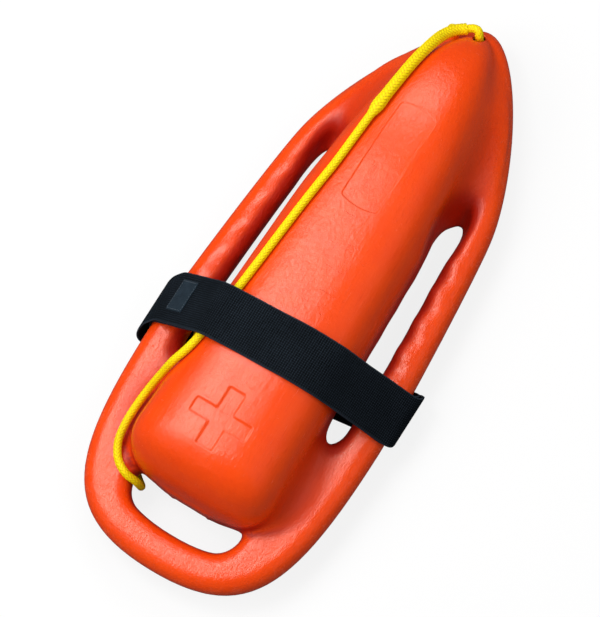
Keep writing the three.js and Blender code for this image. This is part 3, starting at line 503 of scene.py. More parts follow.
def finger_wave(inward, y, z):
    """How far the grips swell, by the distance in from the float's edge."""
    fade = ease((y - WAVE_AFT) / WAVE_FADE) * ease((WAVE_FORE - y) / WAVE_FADE)
    spread = ease((inward - WAVE_INSET) / WAVE_SPREAD) * ease((z - DECK_Z) / WAVE_RISE)
    return WAVE_DEPTH * fade * spread * np.cos(math.tau * (y + WAVE_PHASE) / WAVE_PITCH)


def deck_plan(x, y):
    """Distances in plan to the outline, to the stern slot, and to the deck with its slots."""
    edge = outline_distance(x, y)
    side = np.abs(x)
    strip = cut(edge + RAIL_WIDTH - RAIL_TAPER * y, side - SLOT_SIDE, 16)
    side_slot = cut(cut(strip, SLOT_FORE - y, 44), y - SLOT_AFT, 26)
    gap = cut(edge + STERN_BAR, CAN_STERN + STERN_BOW * (x / STERN_HALF) ** 2 - y, 12)
    stern_slot = cut(gap, STERN_HALF - side, 24)
    return edge, stern_slot, np.maximum(edge, np.maximum(-side_slot, -stern_slot))


def bullet(from_tip, reach, fullness, roundness):
    return (1 - (1 - np.clip(from_tip / reach, 0, 1)) ** fullness) ** (1 / roundness)


def can_size(y):
    """The can's half width, and its heights over and under the deck's middle."""
    from_nose, from_stern = NOSE_Y - y, y - CAN_STERN
    flare = mix(*CAN_FLARE, (FLARE_FORE - np.minimum(y, FLARE_FORE)) / (FLARE_FORE - CAN_STERN))
    height = bullet(from_nose - NOSE_INSET, 205, 2.2, 2)
    stern = bullet(from_stern, 60, 2.4, 2.4)
    width = bullet(from_nose - 9, 270, 2, 1.7) * mix(0.42, 1, bullet(from_stern, 48, 2.2, 2.2))
    below = (BELLY + BELLY_TRIM) * height ** 0.8 * mix(0.3, 1, stern)
    return flare * width, CROWN * height * mix(0.06, 1, stern), below


def can_distance(x, y, z):
    wide, above, below = can_size(y)
    half = np.maximum((above + below) / 2, 0.5)
    wide = np.maximum(wide, 0.5)
    up = z - DECK_Z - (above - below) / 2
    spread = (np.abs(x / wide) ** CAN_POWER + np.abs(up / half) ** CAN_POWER) ** (1 / CAN_POWER)
    deepest = -np.minimum(wide, half)
    across = np.maximum(np.hypot(x, up) * (1 - 1 / np.maximum(spread, 1e-3)), deepest)
    beyond = np.maximum(np.maximum(CAN_STERN - y, y - (NOSE_Y - NOSE_INSET)), 0)
    return np.where(beyond > 0, np.hypot(np.maximum(across, 0), beyond), across)


def body_distance(x, y, z):
    """The moulded float before its holes are made."""
    edge, stern_slot, plan = deck_plan(x, y)
    outward, upward = plan + EDGE_RADIUS, np.abs(z - DECK_Z) - DECK_LAND / 2
    deck = np.hypot(np.maximum(outward, 0), np.maximum(upward, 0))
    deck = deck + np.minimum(np.maximum(outward, upward), 0) - EDGE_RADIUS
    deck = deck - finger_wave(-edge, y, z)
    top_reach = along(FILLETS, NOSE_Y - y)
    low_reach = np.minimum(top_reach, UNDER_FILLET)
    reach = mix(low_reach, top_reach, ease((z - DECK_Z) / FILLET_RISE))
    body = join(deck, can_distance(x, y, z), reach)
    (sx, sy, sz), (rx, ry, rz) = SCOOP_CENTRE, SCOOP_RADII
    scoop = np.sqrt(((np.abs(x) - sx) / rx) ** 2 + ((y - sy) / ry) ** 2
                    + ((z - DECK_Z - sz) / rz) ** 2)
    body = cut(body, (scoop - 1) * rx, SCOOP_BLEND)
    return cut(body, stern_slot + SLOT_LIP, 8)


def hull_distance(x, y, z):
    """The float with its flat belly, its nose hole and the plug's hole."""
    body = cut(body_distance(x, y, z), z - BELLY_Z, BELLY_EDGE)
    hole = np.hypot(x - NOSE_HOLE[0], y - NOSE_HOLE[1]) - NOSE_HOLE[2]
    body = cut(body, hole, NOSE_HOLE_EDGE)
    seat = np.maximum(np.hypot(x, y - PLUG_Y) - PLUG_HOLE, z - BELLY_Z - PLUG_SEAT)
    return cut(body, seat, PLUG_SEAT_EDGE)


def slopes(field, p, probe=0.35):
    out = []
    for axis in range(3):
        step = np.zeros(3)
        step[axis] = probe
        out.append((field(*(p + step).T) - field(*(p - step).T)) / (2 * probe))
    return np.stack(out, 1)


def settle(field, points, passes=3, low=None, high=None, most=3.0):
    """Points moved onto the skin along its slope."""
    spot = points.copy()
    for _ in range(passes):
        slope = slopes(field, spot)
        pull = field(*spot.T) / np.maximum((slope ** 2).sum(1), 1e-6)
        spot = spot - slope * pull[:, None]
        if low is not None:
            spot = np.clip(spot, low, high)
        else:
            away = spot - points
            size = np.maximum(norm(away, axis=1), 1e-9)
            spot = points + away * np.minimum(1, most / size)[:, None]
    return spot


SPINS = ((0, 1, 2), (1, 2, 0), (2, 0, 1))


def skin_of(field, low, cell, count):
    """One vertex in each cell that the skin crosses, and a quad round each crossing edge."""
    low, cell = np.array(low, float), np.array(cell, float)
    axes = [low[a] + cell[a] * np.arange(count[a] + 1) for a in range(3)]
    value = field(*np.meshgrid(*axes, indexing="ij"))
    total = np.zeros((*count, 3))
    hits = np.zeros(count)
    crossings = []
    for spin in SPINS:
        turned = value.transpose(spin)
        a, b = turned[:-1], turned[1:]
        cross = (a < 0) != (b < 0)
        share = np.where(cross, a / np.where(cross, a - b, 1), 0)
        crossings.append((cross, a < 0))
        sums, tally = total.transpose(*spin, 3), hits.transpose(spin)
        n1, n2 = cross.shape[1] - 1, cross.shape[2] - 1
        for p, q in np.ndindex(2, 2):
            c = cross[:, p:n1 + p, q:n2 + q]
            tally += c
            sums[..., spin[0]] += c * share[:, p:n1 + p, q:n2 + q]
            sums[..., spin[1]] += c * p
            sums[..., spin[2]] += c * q
    cells = np.argwhere(hits > 0)
    index = np.full(count, -1)
    at = tuple(cells.T)
    index[at] = np.arange(len(cells))
    start = low + cells * cell
    middle = start + total[at] / hits[at][:, None] * cell
    points = settle(field, middle, 3, start + 0.03 * cell, start + 0.97 * cell)
    quads = []
    for spin, (cross, inside) in zip(SPINS, crossings):
        turned = index.transpose(spin)
        i, j, k = np.nonzero(cross[:, 1:-1, 1:-1])
        j, k = j + 1, k + 1
        quad = np.stack([turned[i, j, k], turned[i, j - 1, k], turned[i, j - 1, k - 1],
                         turned[i, j, k - 1]], 1)
        flip = ~inside[i, j, k]
        quad[flip] = quad[flip][:, ::-1]
        quads.append(quad)
    return points, np.vstack(quads)


def bar(x, y, half_x, half_y, corner):
    """Distance in plan to a rectangle with rounded corners."""
    dx, dy = np.abs(x) - half_x + corner, np.abs(y) - half_y + corner
    beyond = np.hypot(np.maximum(dx, 0), np.maximum(dy, 0))
    return beyond + np.minimum(np.maximum(dx, dy), 0) - corner


def cross_plan(x, y):
    y = y - CROSS_Y
    sideways = bar(x, y, CROSS_REACH, CROSS_ARMS[0], CROSS_CORNER)
    return join(sideways, bar(x, y, CROSS_ARMS[1], CROSS_REACH, CROSS_CORNER), CROSS_BLEND)


def plate_plan(x, y):
    half_x, half_y = PLATE_HALF
    bow = PLATE_BOW * (1 - np.clip((x / half_x) ** 2, 0, 1))
    return bar(x, y - PLATE_Y, half_x, half_y + bow, PLATE_CORNER)


def to_detail(p):
    """How far a point of the skin is from the nearest sharp detail, in plan."""
    x, y, z = p.T
    crown = np.where(z > CROWN_Z, 0, 99)
    near = np.minimum(np.abs(cross_plan(x, y)), np.abs(plate_plan(x, y))) + crown
    hole = np.abs(np.hypot(x - NOSE_HOLE[0], y - NOSE_HOLE[1]) - NOSE_HOLE[2] - 0.8)
    seat = np.abs(np.hypot(x, y - PLUG_Y) - PLUG_HOLE) + np.where(z < BELLY_Z + 6, 0, 99)
    return np.minimum(near, np.minimum(hole, seat))


def hull_mesh():
    half_x, half_y, high = (math.ceil(reach / cell) for reach, cell in zip(GRID_REACH, CELL))
    low = (-half_x * CELL[0], -half_y * CELL[1], GRID_LOW)
    points, quads = skin_of(hull_distance, low, CELL, (2 * half_x, 2 * half_y, high))
    bm = bmesh.new()
    verts = [bm.verts.new(p) for p in points]
    for quad in quads:
        bm.faces.new([verts[i] for i in quad])
    for reach in HALVED_WITHIN:
        bm.faces.ensure_lookup_table()
        middles = np.array([f.calc_center_median() for f in bm.faces])
        chosen = np.nonzero(to_detail(middles) < reach)[0]
        edges = sorted({e for i in chosen for e in bm.faces[i].edges}, key=lambda e: e.index)
        made = bmesh.ops.subdivide_edges(bm, edges=edges, cuts=1, use_grid_fill=True)
        fresh = [v for v in made["geom_inner"] if isinstance(v, bmesh.types.BMVert)]
        spots = settle(hull_distance, np.array([v.co for v in fresh]), 2, most=1.2)
        for v, spot in zip(fresh, spots):
            v.co = spot
        bm.edges.index_update()
        bm.verts.index_update()
    p = np.array([v.co for v in bm.verts])
    sunk = CROSS_DEPTH * ease(0.5 - cross_plan(p[:, 0], p[:, 1]) / CROSS_WALL)
    sunk += PLATE_DEPTH * ease(0.5 - plate_plan(p[:, 0], p[:, 1]) / PLATE_WALL)
    p[:, 2] -= np.where(p[:, 2] > CROWN_Z, sunk, 0)
    bm.verts.ensure_lookup_table()
    bm.verts.index_update()
    faces = [[v.index for v in f.verts] for f in bm.faces]
    bm.free()
    return p, faces


def hollows(points):
    """How shut in each point of the skin is, from distances a little way off it; it paints shade
    into the hull's colour.
    """
    out = slopes(body_distance, points, 2.0)
    out /= np.maximum(norm(out, axis=1), 1e-6)[:, None]
    shut = 0
    for reach, weight in HOLLOW_PROBES:
        shut = shut + weight * (1 - body_distance(*(points + out * reach).T) / reach)
    return ease((shut - 0.15) / 1.35)


def build_hull():
    points, faces = hull_mesh()
    x, y, z = points.T
    rim = ease((outline_distance(x, y) + 9) / 8)
    belly = ease((BELLY_Z + 3 - z) / 3)
    wear = np.clip(np.maximum(rim, belly), 0, 1)
    # The hollow layer darkens the hull's colour as painted shade, and also makes it rougher.
    make("hull", points, faces, hull_material(),
         layers={"wear": wear, "hollow_shade": hollows(points)}, hide=("hull_shell",))


# Rope: a two-over braid as real relief on a tube.
CARRIERS, LINE_STEP, PATH_POINTS = 8, 0.95, 260
ROPE_LAY, ROPE_RELIEF, ROPE_SIDES = 34.0, 0.75, 48
EYE_LAY, EYE_RELIEF, EYE_SIDES = 30.0, 0.55, 40
BULGE, BULGE_BACK, BULGE_REACH = 0.8, 5, 8
UNEVEN, UNEVEN_RUN = 0.12, 17


def tube_faces(count, around, closed=False, flip=False):
    faces = []
    for i in range(count if closed else count - 1):
        here, there = i * around, (i + 1) % count * around
        for j in range(around):
            n = (j + 1) % around
            face = (here + j, here + n, there + n, there + j)
            faces.append(face[::-1] if flip else face)
    return faces


def end_fans(count, around, flip=False):
    """Triangles from a tube's end rings to two points that come after the rings' own."""
    first, last, ring = count * around, count * around + 1, (count - 1) * around
    fans = []
    for j in range(around):
        n = (j + 1) % around
        a, b = (j, n) if flip else (n, j)
        fans += [(first, a, b), (last, ring + b, ring + a)]
    return fans


def frames_along(line, closed=False):
    """Tangents and two cross directions that don't twist."""
    tangent = np.gradient(line, axis=0)
    if closed:
        tangent[0] = tangent[-1] = line[1] - line[-2]
    tangent = unit_rows(tangent)
    start = np.cross(tangent[0], (0, 0, 1.0))
    if norm(start) < 0.2:
        start = np.cross(tangent[0], (1.0, 0, 0))
    side = [unit(start)]
    for t in tangent[1:]:
        side.append(unit(side[-1] - t * (side[-1] @ t)))
    side = np.array(side)
    if closed:
        up = np.cross(tangent[0], side[0])
        off = math.atan2(side[-1] @ up, side[-1] @ side[0])
        angle = -off * np.linspace(0, 1, len(line))[:, None]
        side = side * np.cos(angle) + np.cross(tangent, side) * np.sin(angle)
    return tangent, side, np.cross(tangent, side)


def braid(name, line, radius, lay, relief, around, material, closed=False, hide=()):
    """Rope on an even line, with a radius at each point. Lay is the run of a strand's turn."""
    count = len(line) - (1 if closed else 0)
    tangent, side, other = frames_along(line, closed)
    turns = lengths(line) / lay
    if closed:
        turns = turns * max(round(turns[-1] * CARRIERS), 4) / CARRIERS / turns[-1]
    turns = turns[:count, None]
    share = np.arange(around)[None, :] / around
    a, b = CARRIERS * (share + turns), CARRIERS * (share - turns)
    ia, ib = np.floor(a).astype(int), np.floor(b).astype(int)
    fa, fb = a - ia, b - ib
    over = ((ia + ib) % 4) < 2
    across = np.where(over, fa, fb)
    lengthwise = ((ia + ib) % 2 + np.where(over, fb, fa)) / 2
    crown = np.clip(1 - np.abs(2 * across - 1) ** 2.4, 0, 1)
    arch = np.clip(np.sin(np.pi * np.clip(lengthwise, 0, 1)), 0, 1) ** 0.6
    lift = crown * (0.45 + 0.55 * arch)
    angle = math.tau * share
    reach = radius[:count, None] - relief * (1 - lift)
    outward = (np.cos(angle)[..., None] * side[:count, None, :]
               + np.sin(angle)[..., None] * other[:count, None, :])
    points = (line[:count, None, :] + reach[..., None] * outward).reshape(-1, 3)
    uv = np.stack([across + np.where(over, ia % CARRIERS, 20 + ib % CARRIERS),
                   np.where(over, b, a) * 0.5], -1).reshape(-1, 2)
    tones = np.random.default_rng(7).random(2 * CARRIERS)
    tone = np.where(over, tones[ia % CARRIERS], tones[CARRIERS + ib % CARRIERS]).ravel()
    lift = lift.ravel()
    faces = tube_faces(count, around, closed)
    if not closed:
        tips = [line[0] - tangent[0] * radius[0] * 0.3, line[-1] + tangent[-1] * radius[-1] * 0.3]
        points, uv = np.vstack([points, tips]), np.vstack([uv, uv[:1], uv[-1:]])
        lift, tone = np.r_[lift, 0.5, 0.5], np.r_[tone, 0.5, 0.5]
        faces += end_fans(count, around)
    # The lift layer, the height of the strands, also paints shade into the rope's colour between
    # them.
    return make(name, points, faces, material, uv=uv,
                layers={"lift": lift, "tone": tone}, hide=hide)


def build_rope():
    material = rope_material()
    line = smooth_line(ROPE_ROUTE, LINE_STEP)
    run = lengths(line)
    spliced = np.maximum(1 - ease((run - NOSE_SPLICE) / SPLICE_TAPER),
                         1 - ease((run[-1] - run - RING_SPLICE) / SPLICE_TAPER))
    radius = mix(ROPE_DIAMETER, SPLICE_DIAMETER, spliced) / 2
    radius += BULGE * np.exp(-((run - NOSE_SPLICE + BULGE_BACK) / BULGE_REACH) ** 2)
    radius += UNEVEN * np.sin(run / UNEVEN_RUN) * spliced
    for name, route in (("nose_eye", NOSE_EYE), ("ring_eye", RING_EYE)):
        loop = smooth_line(route, LINE_STEP, closed=True)
        radii = np.full(len(loop), ROPE_DIAMETER / 2)
        braid(name, loop, radii, EYE_LAY, EYE_RELIEF, EYE_SIDES, material, True)
    rope = braid("rope", line, radius, ROPE_LAY, ROPE_RELIEF, ROPE_SIDES, material,
                 hide=("tow_rope",))


# Strap: one band in two turns, on the same section as the part's source.
WEB_THICK, WEB_WIDTH, TURN_GAP, SEAT_GAP = 2.2, 61.0, 0.65, 0.3
STRAP_Y, STRAP_CENTRE = -76.5, np.array((0.0, DECK_Z + 20))
SEAM_X, SEAM_RAMP, SEAM_OVERLAP = -62.0, 26, 34
INNER_SLACK, OUTER_SLACK = (0.3, 1.2), (4.4, 3.6)
SLEW_LOW, SLEW_HIGH = 0.11, 0.045
LEFT_STEP, LEFT_STEP_X, LEFT_STEP_UP = 13, 92, 12
EDGE_ROUND, EDGE_REACH = 0.9 * 0.45, 1.6
LABEL_X, LABEL_REACH, LABEL_HALF, LABEL_THICK, LABEL_INSET = -118, 17, 18.5, 0.9, 9
ACROSS = np.array((0, 1.0, 0))


def can_section(y, growth):
    wide, above, below = can_size(np.array(float(y)))
    half, wide = (above + below) / 2 + growth, wide + growth
    angle = math.tau * (np.arange(240) + 0.5) / 240
    aim = np.stack([-np.cos(angle), np.sin(angle)], 1)
    across, up = (np.sign(aim) * np.abs(aim) ** (2 / CAN_POWER)).T
    return np.stack([wide * across, DECK_Z + (above - below) / 2 + half * up], 1)


def taut_outline(points):
    """The points that a taut band round them all would touch."""
    points = sorted(map(tuple, points))

    def half(seq):
        chain = []
        for p in seq:
            while len(chain) > 1:
                (ax, ay), (bx, by) = chain[-2:]
                if (bx - ax) * (p[1] - ay) - (by - ay) * (p[0] - ax) > 0:
                    break
                chain.pop()
            chain.append(p)
        return chain[:-1]

    return np.array(half(points) + half(points[::-1]))


def strap_section(growth, slack_left, slack_right, rope_line):
    angle = math.tau * np.arange(120) / 120
    circle = np.stack([np.cos(angle), np.sin(angle)], 1)
    rail = WIDEST - EDGE_RADIUS
    sets = []
    for rise in (-DECK_LAND / 2, DECK_LAND / 2):
        for x in (-rail - slack_left, rail + slack_right):
            sets.append(np.array((x, DECK_Z + rise)) + circle * (EDGE_RADIUS + growth))
    can = can_section(STRAP_Y - WEB_WIDTH, growth)
    sets.append(np.stack([can[:, 0], np.maximum(can[:, 1], BELLY_Z - growth)], 1))
    away = np.abs(rope_line[:, 1] - STRAP_Y) - WEB_WIDTH / 2
    near = (rope_line[:, 2] > DECK_Z) & (away < ROPE_DIAMETER)
    for x, _, z in rope_line[near][::6]:
        sets.append(np.array((x, z)) + circle * (ROPE_DIAMETER / 2 + growth + SEAT_GAP / 2))
    return taut_outline(np.vstack(sets))


def outline_at(points, angles):
    """Where an outline crosses rays from the strap's centre."""
    rel = points - STRAP_CENTRE
    at = np.unwrap(np.arctan2(rel[:, 1], rel[:, 0]))
    order = np.argsort(at)
    at, rel = at[order], rel[order]
    at = np.r_[at, at[0] + math.tau]
    rel = np.vstack([rel, rel[:1]])
    wanted = (angles - at[0]) % math.tau + at[0]
    k = np.clip(np.searchsorted(at, wanted, side="right") - 1, 0, len(at) - 2)
    aim = np.stack([np.cos(wanted), np.sin(wanted)], 1)
    run = rel[k + 1] - rel[k]
    side_from = aim[:, 0] * rel[k][:, 1] - aim[:, 1] * rel[k][:, 0]
    side_run = aim[:, 0] * run[:, 1] - aim[:, 1] * run[:, 0]
    share = np.clip(-side_from / side_run, 0, 1)
    return STRAP_CENTRE + rel[k] + run * share[:, None]


def strap_line():
    """Rows of x, y, z of the band's middle line, with the share of the way to the outer turn."""
    rope_line = smooth_line(ROPE_ROUTE, 2.0)
    growth = SEAT_GAP + WEB_THICK / 2
    inner = strap_section(growth, *INNER_SLACK, rope_line)
    outer = strap_section(growth + WEB_THICK + TURN_GAP, *OUTER_SLACK, rope_line)

    def angle_of(x):
        return math.atan2(BELLY_Z - STRAP_CENTRE[1], x)

    seam = angle_of(SEAM_X)
    ramp = angle_of(SEAM_X + SEAM_RAMP) - seam
    turned = np.linspace(0, 4 * np.pi - (angle_of(SEAM_X + SEAM_OVERLAP) - seam), 2600)
    share = ease((turned - math.tau + ramp) / ramp)
    spot = mix(outline_at(inner, seam - turned), outline_at(outer, seam - turned), share[:, None])
    x, z = spot.T
    slew = mix(SLEW_LOW, SLEW_HIGH, ease((z - DECK_Z + EDGE_RADIUS) / (2 * EDGE_RADIUS)))
    low = ease((DECK_Z + EDGE_RADIUS + LEFT_STEP_UP - z) / (EDGE_RADIUS + LEFT_STEP_UP))
    step = LEFT_STEP * share * low * ease((-x - LEFT_STEP_X) / (WIDEST - LEFT_STEP_X))
    return np.stack([x, STRAP_Y + slew * x - step, z, share], 1)


def outward_of(line):
    run = unit_rows(np.gradient(line[:, [0, 2]], axis=0))
    return np.stack([-run[:, 1], np.zeros(len(line)), run[:, 0]], 1)


def webbing(name, line, out, half_width, inside, outside, material, hide, lanes,
            pucker=0.0):
    """Band with rounded edges along a line, between two distances outward of it."""
    middle, half = (inside + outside) / 2, (outside - inside) / 2
    across = np.r_[np.linspace(-1, 1, lanes), 1, np.linspace(1, -1, lanes), -1]
    level = np.r_[np.full(lanes, 1.0), 0, np.full(lanes, -1.0), 0]
    near_edge = (np.abs(across) * half_width - half_width + EDGE_REACH) / EDGE_REACH
    near_edge = np.clip(near_edge, 0, 1)
    level = level * (1 - EDGE_ROUND * near_edge ** 2)
    run = lengths(line[:, :3])
    width = half_width + pucker * 0.6 * np.sin(run / 23) + pucker * 0.4 * np.sin(run / 9.1 + 1)
    lane = across[None, :] * width[:, None]
    rise = middle + half * level[None, :]
    rise = rise + pucker * 0.12 * np.sin(run / 31 + 2)[:, None] * (across[None, :] ** 2)
    points = line[:, None, :3] + lane[..., None] * ACROSS + rise[..., None] * out[:, None, :]
    count, around = points.shape[:2]
    uv = np.stack([np.repeat(run, around), np.tile(across * half_width, count)], 1) * MM
    tips = [line[0, :3] + out[0] * middle, line[-1, :3] + out[-1] * middle]
    points = np.vstack([points.reshape(-1, 3), tips])
    faces = tube_faces(count, around, flip=True) + end_fans(count, around, flip=True)
    make(name, points, faces, material, uv=np.vstack([uv, uv[:1], uv[-1:]]),
         layers={"edge": np.r_[np.tile(near_edge, count), 1, 1]}, hide=hide)


def stitch(line, out, row, y, lift, run=ACROSS):
    """A stitch's middle, run and outward direction, at a row of a band and y across it."""
    return line[row, :3] + out[row] * lift + ACROSS * y, run, out[row]


def stitches(name, rows, thread, colour, length=2.3, radius=0.22):
    """Thread as short pills that lie on a surface."""
    points, faces, around, rings = [], [], 8, 7
    pill = tube_faces(rings, around)
    pill += [tuple(range(around))[::-1], tuple(range((rings - 1) * around, rings * around))]
    for spot, run, out in rows:
        side = np.cross(run, out)
        faces += [tuple(len(points) + k for k in face) for face in pill]
        for i in range(rings):
            t = -1 + 2 * i / (rings - 1)
            size = radius * math.sqrt(max(1 - abs(t) ** 3, 0.02))
            dip = -radius * 0.9 * t * t
            centre = spot + run * (t * length / 2) + out * dip
            for j in range(around):
                a = math.tau * j / around
                points.append(centre + side * (size * math.cos(a)) + out * (size * math.sin(a)))
    make(name, points, faces, thread_material(thread, colour))


def build_strap():
    web = webbing_material()
    dense = strap_line()
    line = evenly(dense, 1.9)
    webbing("strap", line, outward_of(line), WEB_WIDTH / 2, -WEB_THICK / 2, WEB_THICK / 2, web,
            ("shoulder_strap",), lanes=34, pucker=0.35)
    return dense, web


def build_label(dense):
    """Bare cloth patch on the outer turn by the left grip, sewn down along its edges."""
    index = np.arange(len(dense))
    on_top = (index > len(dense) / 2) & (dense[:, 2] > DECK_Z) & (dense[:, 0] < 0)
    middle = dense[on_top][np.argmax(dense[on_top][:, 0] > LABEL_X)]
    near = np.hypot(dense[:, 0] - middle[0], dense[:, 2] - middle[2]) < LABEL_REACH
    line = evenly(dense[on_top & near], 0.8)
    out = outward_of(line)
    line = line + np.array((0, WEB_WIDTH / 2 - LABEL_INSET - LABEL_HALF, 0, 0))
    base = WEB_THICK / 2 + 0.12
    webbing("label", line, out, LABEL_HALF, base, base + LABEL_THICK, cloth_material(),
            ("strap_label",), lanes=30, pucker=0.25)
    top = base + LABEL_THICK + 0.05
    rows = []
    for y in (-16.9, 16.9):
        for k in range(4, len(line) - 4, 4):
            rows.append(stitch(line, out, k, y, top, unit(line[k + 1, :3] - line[k - 1, :3])))
    for k in (2, len(line) - 3):
        rows += [stitch(line, out, k, y, top) for y in np.arange(-15.5, 15.6, 3.2)]
    stitches("label_stitches", rows, "label_thread", (0.10, 0.13, 0.16))


def build_seam_stitches(dense):
    """Boxed cross of stitches that holds the strap's outer end, under the belly."""
    end = dense[-1]
    tail = dense[dense[:, 3] > 0.999]
    tail = tail[np.hypot(tail[:, 0] - end[0], tail[:, 2] - end[2]) < 30]
    tail = evenly(tail[np.argsort(tail[:, 0])], 0.5)
    out = outward_of(tail)
    if out[:, 2].mean() > 0:
        out = -out
    span = tail[-1, :3] - tail[0, :3]
    length, reach, inset, pitch = norm(span), WEB_WIDTH / 2 - 4, 3, 3.1
    slope = unit(np.array((length - 2 * inset, 2 * reach)))
    marks = []
    for t in np.arange(inset, length - 2, pitch):
        marks += [(t, -reach, (1, 0)), (t, reach, (1, 0))]
    for y in np.arange(-reach, reach + 0.1, pitch):
        slant = (y + reach) / (2 * reach) * (length - 2 * inset)
        marks += [(inset, y, (0, 1)), (length - inset, y, (0, 1)), (inset + slant, y, slope),
                  (length - inset - slant, y, (-slope[0], slope[1]))]
    rows = []
    for t, y, (along_run, along_y) in marks:
        k = int(np.clip(t / 0.5, 0, len(tail) - 1))
        run = unit(span / length * along_run + ACROSS * along_y)
        rows.append(stitch(tail, out, k, y, WEB_THICK / 2 + 0.02, run))
    stitches("seam_stitches", rows, "strap_thread", (0.05, 0.055, 0.06))


# Ring, its tab and the fill plug.
RING_X, RING_Y, RING_WIRE, RING_RADIUS, RING_SEAT = -88.0, -70.0, 5.0, 14.5, 0.6
WELD, WELD_ANGLE, WELD_REACH = 0.22, 2.2, 0.07
TAB_ROOM, TAB_THICK, TAB_FOOT, TAB_WIDTH, TAB_STEP = 0.95, 1.6, 7.0, 8.0, 0.45
PLUG_PROFILE = [
    (0.01, 0.35), (5, 0.35), (9.6, 0.35), (10.4, 0.1), (11, 0), (13.1, 0), (13.7, 0.25),
    (14, 0.8), (14, 2.0), (13.8, 2.4), (9, 2.4), (9, 5.65), (9.8, 6.45), (9.8, 8.25),
    (9, 11.25), (0.01, 11.25),
]
PLUG_SIDES, PLUG_SLOT, PLUG_SLOT_Z = 96, (15, 2.4, 2.6), 0.3


def ring_seat(dense):
    """The band's lean under the ring, the wire's height over the band, and its middle's z."""
    inner = dense[: len(dense) // 3]
    k = int(np.argmax(inner[:, 0] < RING_X))
    here, before = inner[k], inner[k - 1]
    lean = math.atan2(here[2] - before[2], before[0] - here[0])
    lift = WEB_THICK / 2 + RING_SEAT + RING_WIRE / 2
    return lean, lift, here[2] + lift / math.cos(lean)


def build_ring(wire_z):
    centre = np.array((RING_X, RING_Y, wire_z + RING_RADIUS))
    around, count = 28, 120
    points = []
    for i in range(count):
        a = math.tau * i / count
        radial = np.array((0, math.cos(a), math.sin(a)))
        from_weld = (a - WELD_ANGLE + math.pi) % math.tau - math.pi
        weld = WELD * math.exp(-(from_weld / WELD_REACH) ** 2)
        for j in range(around):
            b = math.tau * j / around
            size = RING_WIRE / 2 + weld * (0.6 + 0.4 * math.cos(3 * b))
            points.append(centre + radial * (RING_RADIUS + size * math.cos(b))
                          + (size * math.sin(b), 0, 0))
    make("ring", points, tube_faces(count, around, closed=True, flip=True), steel_material(),
         hide=("strap_ring",), body="ring")


def build_tab(lean, lift, wire_z, web):
    """The fold of webbing over the ring's wire, with its two sewn feet."""
    bend = RING_WIRE / 2 + TAB_ROOM + TAB_THICK / 2
    foot = WEB_THICK / 2 + SEAT_GAP + TAB_THICK / 2 - lift
    flat = [(-bend - TAB_FOOT, foot), (-bend - 2.4, foot), (-bend - 0.5, foot + 0.7)]
    arc = [(bend * math.cos(a), bend * math.sin(a)) for a in np.linspace(math.pi, 0, 15)]
    flat = evenly(np.array(flat + arc + [(-u, v) for u, v in flat[::-1]], float), TAB_STEP)
    flat = flat * np.array((-1.0, 1.0))
    flat = flat @ np.array(((math.cos(lean), -math.sin(lean)), (math.sin(lean), math.cos(lean))))
    line = np.stack([RING_X + flat[:, 0], np.full(len(flat), RING_Y), wire_z + flat[:, 1]], 1)
    out = outward_of(line)
    if out[len(out) // 2, 2] < 0:
        line = line[::-1]
        out = outward_of(line)
    webbing("tab", line, out, TAB_WIDTH / 2, -TAB_THICK / 2, TAB_THICK / 2, web,
            ("ring_tab",), lanes=16)
    rows = []
    for k in (int(3.0 / TAB_STEP), int(5.4 / TAB_STEP)):
        for row in (k, len(line) - 1 - k):
            rows += [stitch(line, out, row, y, TAB_THICK / 2 + 0.02)
                     for y in np.arange(-2.6, 2.7, 1.3)]
    stitches("tab_stitches", rows, "tab_thread", (0.06, 0.065, 0.07), 1.1, 0.2)


def simple_shape(name, create, matrix, **settings):
    bm = bmesh.new()
    create(bm, matrix=matrix, **settings)
    mesh = bpy.data.meshes.new(name)
    bm.to_mesh(mesh)
    bm.free()
    return add(name, mesh)


def build_plug():
    """Plug's head with a rolled edge, dished face and coin slot, and its snap rim inside."""
    angles = [math.tau * j / PLUG_SIDES for j in range(PLUG_SIDES)]
    points = [(radius * math.cos(a), PLUG_Y + radius * math.sin(a), BELLY_Z + height)
              for radius, height in PLUG_PROFILE for a in angles]
    rings = len(PLUG_PROFILE)
    faces = tube_faces(rings, PLUG_SIDES, flip=True) + [tuple(range(PLUG_SIDES))]
    faces.append(tuple(range((rings - 1) * PLUG_SIDES, rings * PLUG_SIDES))[::-1])
    obj = make("plug", points, faces, plug_material(), hide=("fill_plug",))
    place = Matrix.Translation((0, PLUG_Y * MM, (BELLY_Z + PLUG_SLOT_Z) * MM))
    size = Matrix.Diagonal([side * MM for side in PLUG_SLOT]).to_4x4()
    cutter = simple_shape("slot_cutter", bmesh.ops.create_cube, place @ size, size=1.0)
    tool = obj.modifiers.new("slot", "BOOLEAN")
    tool.operation, tool.object, tool.solver = "DIFFERENCE", cutter, "EXACT"
    seen = obj.evaluated_get(bpy.context.evaluated_depsgraph_get())
    mesh = bpy.data.meshes.new_from_object(seen)
    obj.modifiers.clear()
    obj.data = mesh
    bpy.data.objects.remove(cutter)


# Floor and world: how bright each is to the camera, to diffuse rays and in reflections.
FLOOR_SIZE, FLOOR_Z = 6.0, -0.0006
FLOOR_SEEN, FLOOR_DIFFUSE, FLOOR_GLOSSY = 0.86, 0.13, 0.04
GLOW_SEEN, GLOW_GLOSSY = 0.84, 0.06
WORLD_SEEN, WORLD_DIFFUSE, WORLD_GLOSSY = 1.0, 0.22, 0.06
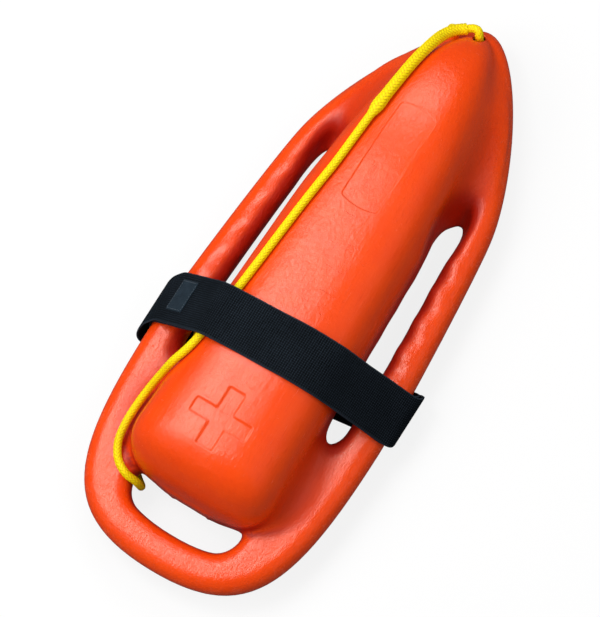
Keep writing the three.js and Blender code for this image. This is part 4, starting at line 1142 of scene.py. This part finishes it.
# Lamps: direction in the picture, distance, size, watts, and whether reflections show them.
LAMPS = (
    ("key", (-0.90, 0.58, 1.15), 2.3, 1.4, 17, True),
    ("crown_sheen", (-0.34, 0.46, 0.86), 2.4, 0.95, 13, True),
    ("fore_sheen", (0.03, 0.92, 0.60), 2.4, 1.15, 17, True),
    ("left", (-1.20, -0.10, 0.90), 2.4, 1.6, 18, False),
    ("fill", (0.85, -0.1, 1.3), 2.6, 2.2, 19, False),
)


def lamp(name, direction, away, size, power, mirrored):
    data = bpy.data.lights.new(name, "AREA")
    data.shape, data.size, data.energy = "DISK", size, power
    obj = add(name, data)
    right, up, near = direction
    back = (image_right * right + image_up * up + toward * near).normalized()
    obj.location = back * away
    obj.rotation_euler = back.to_track_quat("Z", "Y").to_euler()
    obj.visible_glossy = mirrored


def build_floor():
    floor = simple_shape("floor", bmesh.ops.create_grid, Matrix.Translation((0, 0, FLOOR_Z)),
                         x_segments=8, y_segments=8, size=FLOOR_SIZE)
    s = Shader("white_floor", Specular_IOR_Level=0.1)
    rays = s.node("LightPath").outputs
    pale = s.blend(rays["Is Glossy Ray"], (FLOOR_DIFFUSE,) * 3, (FLOOR_GLOSSY,) * 3)
    s.colour(s.blend(rays["Is Camera Ray"], pale, (FLOOR_SEEN,) * 3))
    s.rough(0.9)
    glow = s.node("Emission", (1, 1, 1, 1), 1.0)
    seen = s.math("MAXIMUM", rays["Is Camera Ray"], rays["Is Transmission Ray"])
    seen = s.math("MAXIMUM", s.product(seen, GLOW_SEEN),
                  s.product(rays["Is Glossy Ray"], GLOW_GLOSSY))
    mixed = s.node("MixShader", seen, s.surface.outputs[0], glow.outputs[0])
    s.put(s.out.inputs["Surface"], mixed.outputs[0])
    floor.data.materials.append(s.material)


def build_world():
    world = bpy.data.worlds.new("world")
    scene.world = world
    world.use_nodes = True
    w = Nodes(world.node_tree)
    rays = w.node("LightPath").outputs
    seen = w.math("MAXIMUM", rays["Is Camera Ray"], rays["Is Transmission Ray"])
    unseen = w.level(rays["Is Glossy Ray"], 0.0, 1.0, WORLD_DIFFUSE, WORLD_GLOSSY)
    colour, strength = w.tree.nodes["Background"].inputs[:2]
    w.put(colour, (1, 1, 1, 1))
    w.put(strength, w.level(seen, 0.0, 1.0, unseen, WORLD_SEEN))


build_hull()
build_rope()
strap_dense, strap_web = build_strap()
build_label(strap_dense)
build_seam_stitches(strap_dense)
seat_lean, seat_lift, seat_z = ring_seat(strap_dense)
build_ring(seat_z)
build_tab(seat_lean, seat_lift, seat_z, strap_web)
build_plug()
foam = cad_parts["foam_core"]
foam.data.materials.clear()
foam.data.materials.append(foam_material())
build_floor()
build_world()
for lamp_row in LAMPS:
    lamp(*lamp_row)
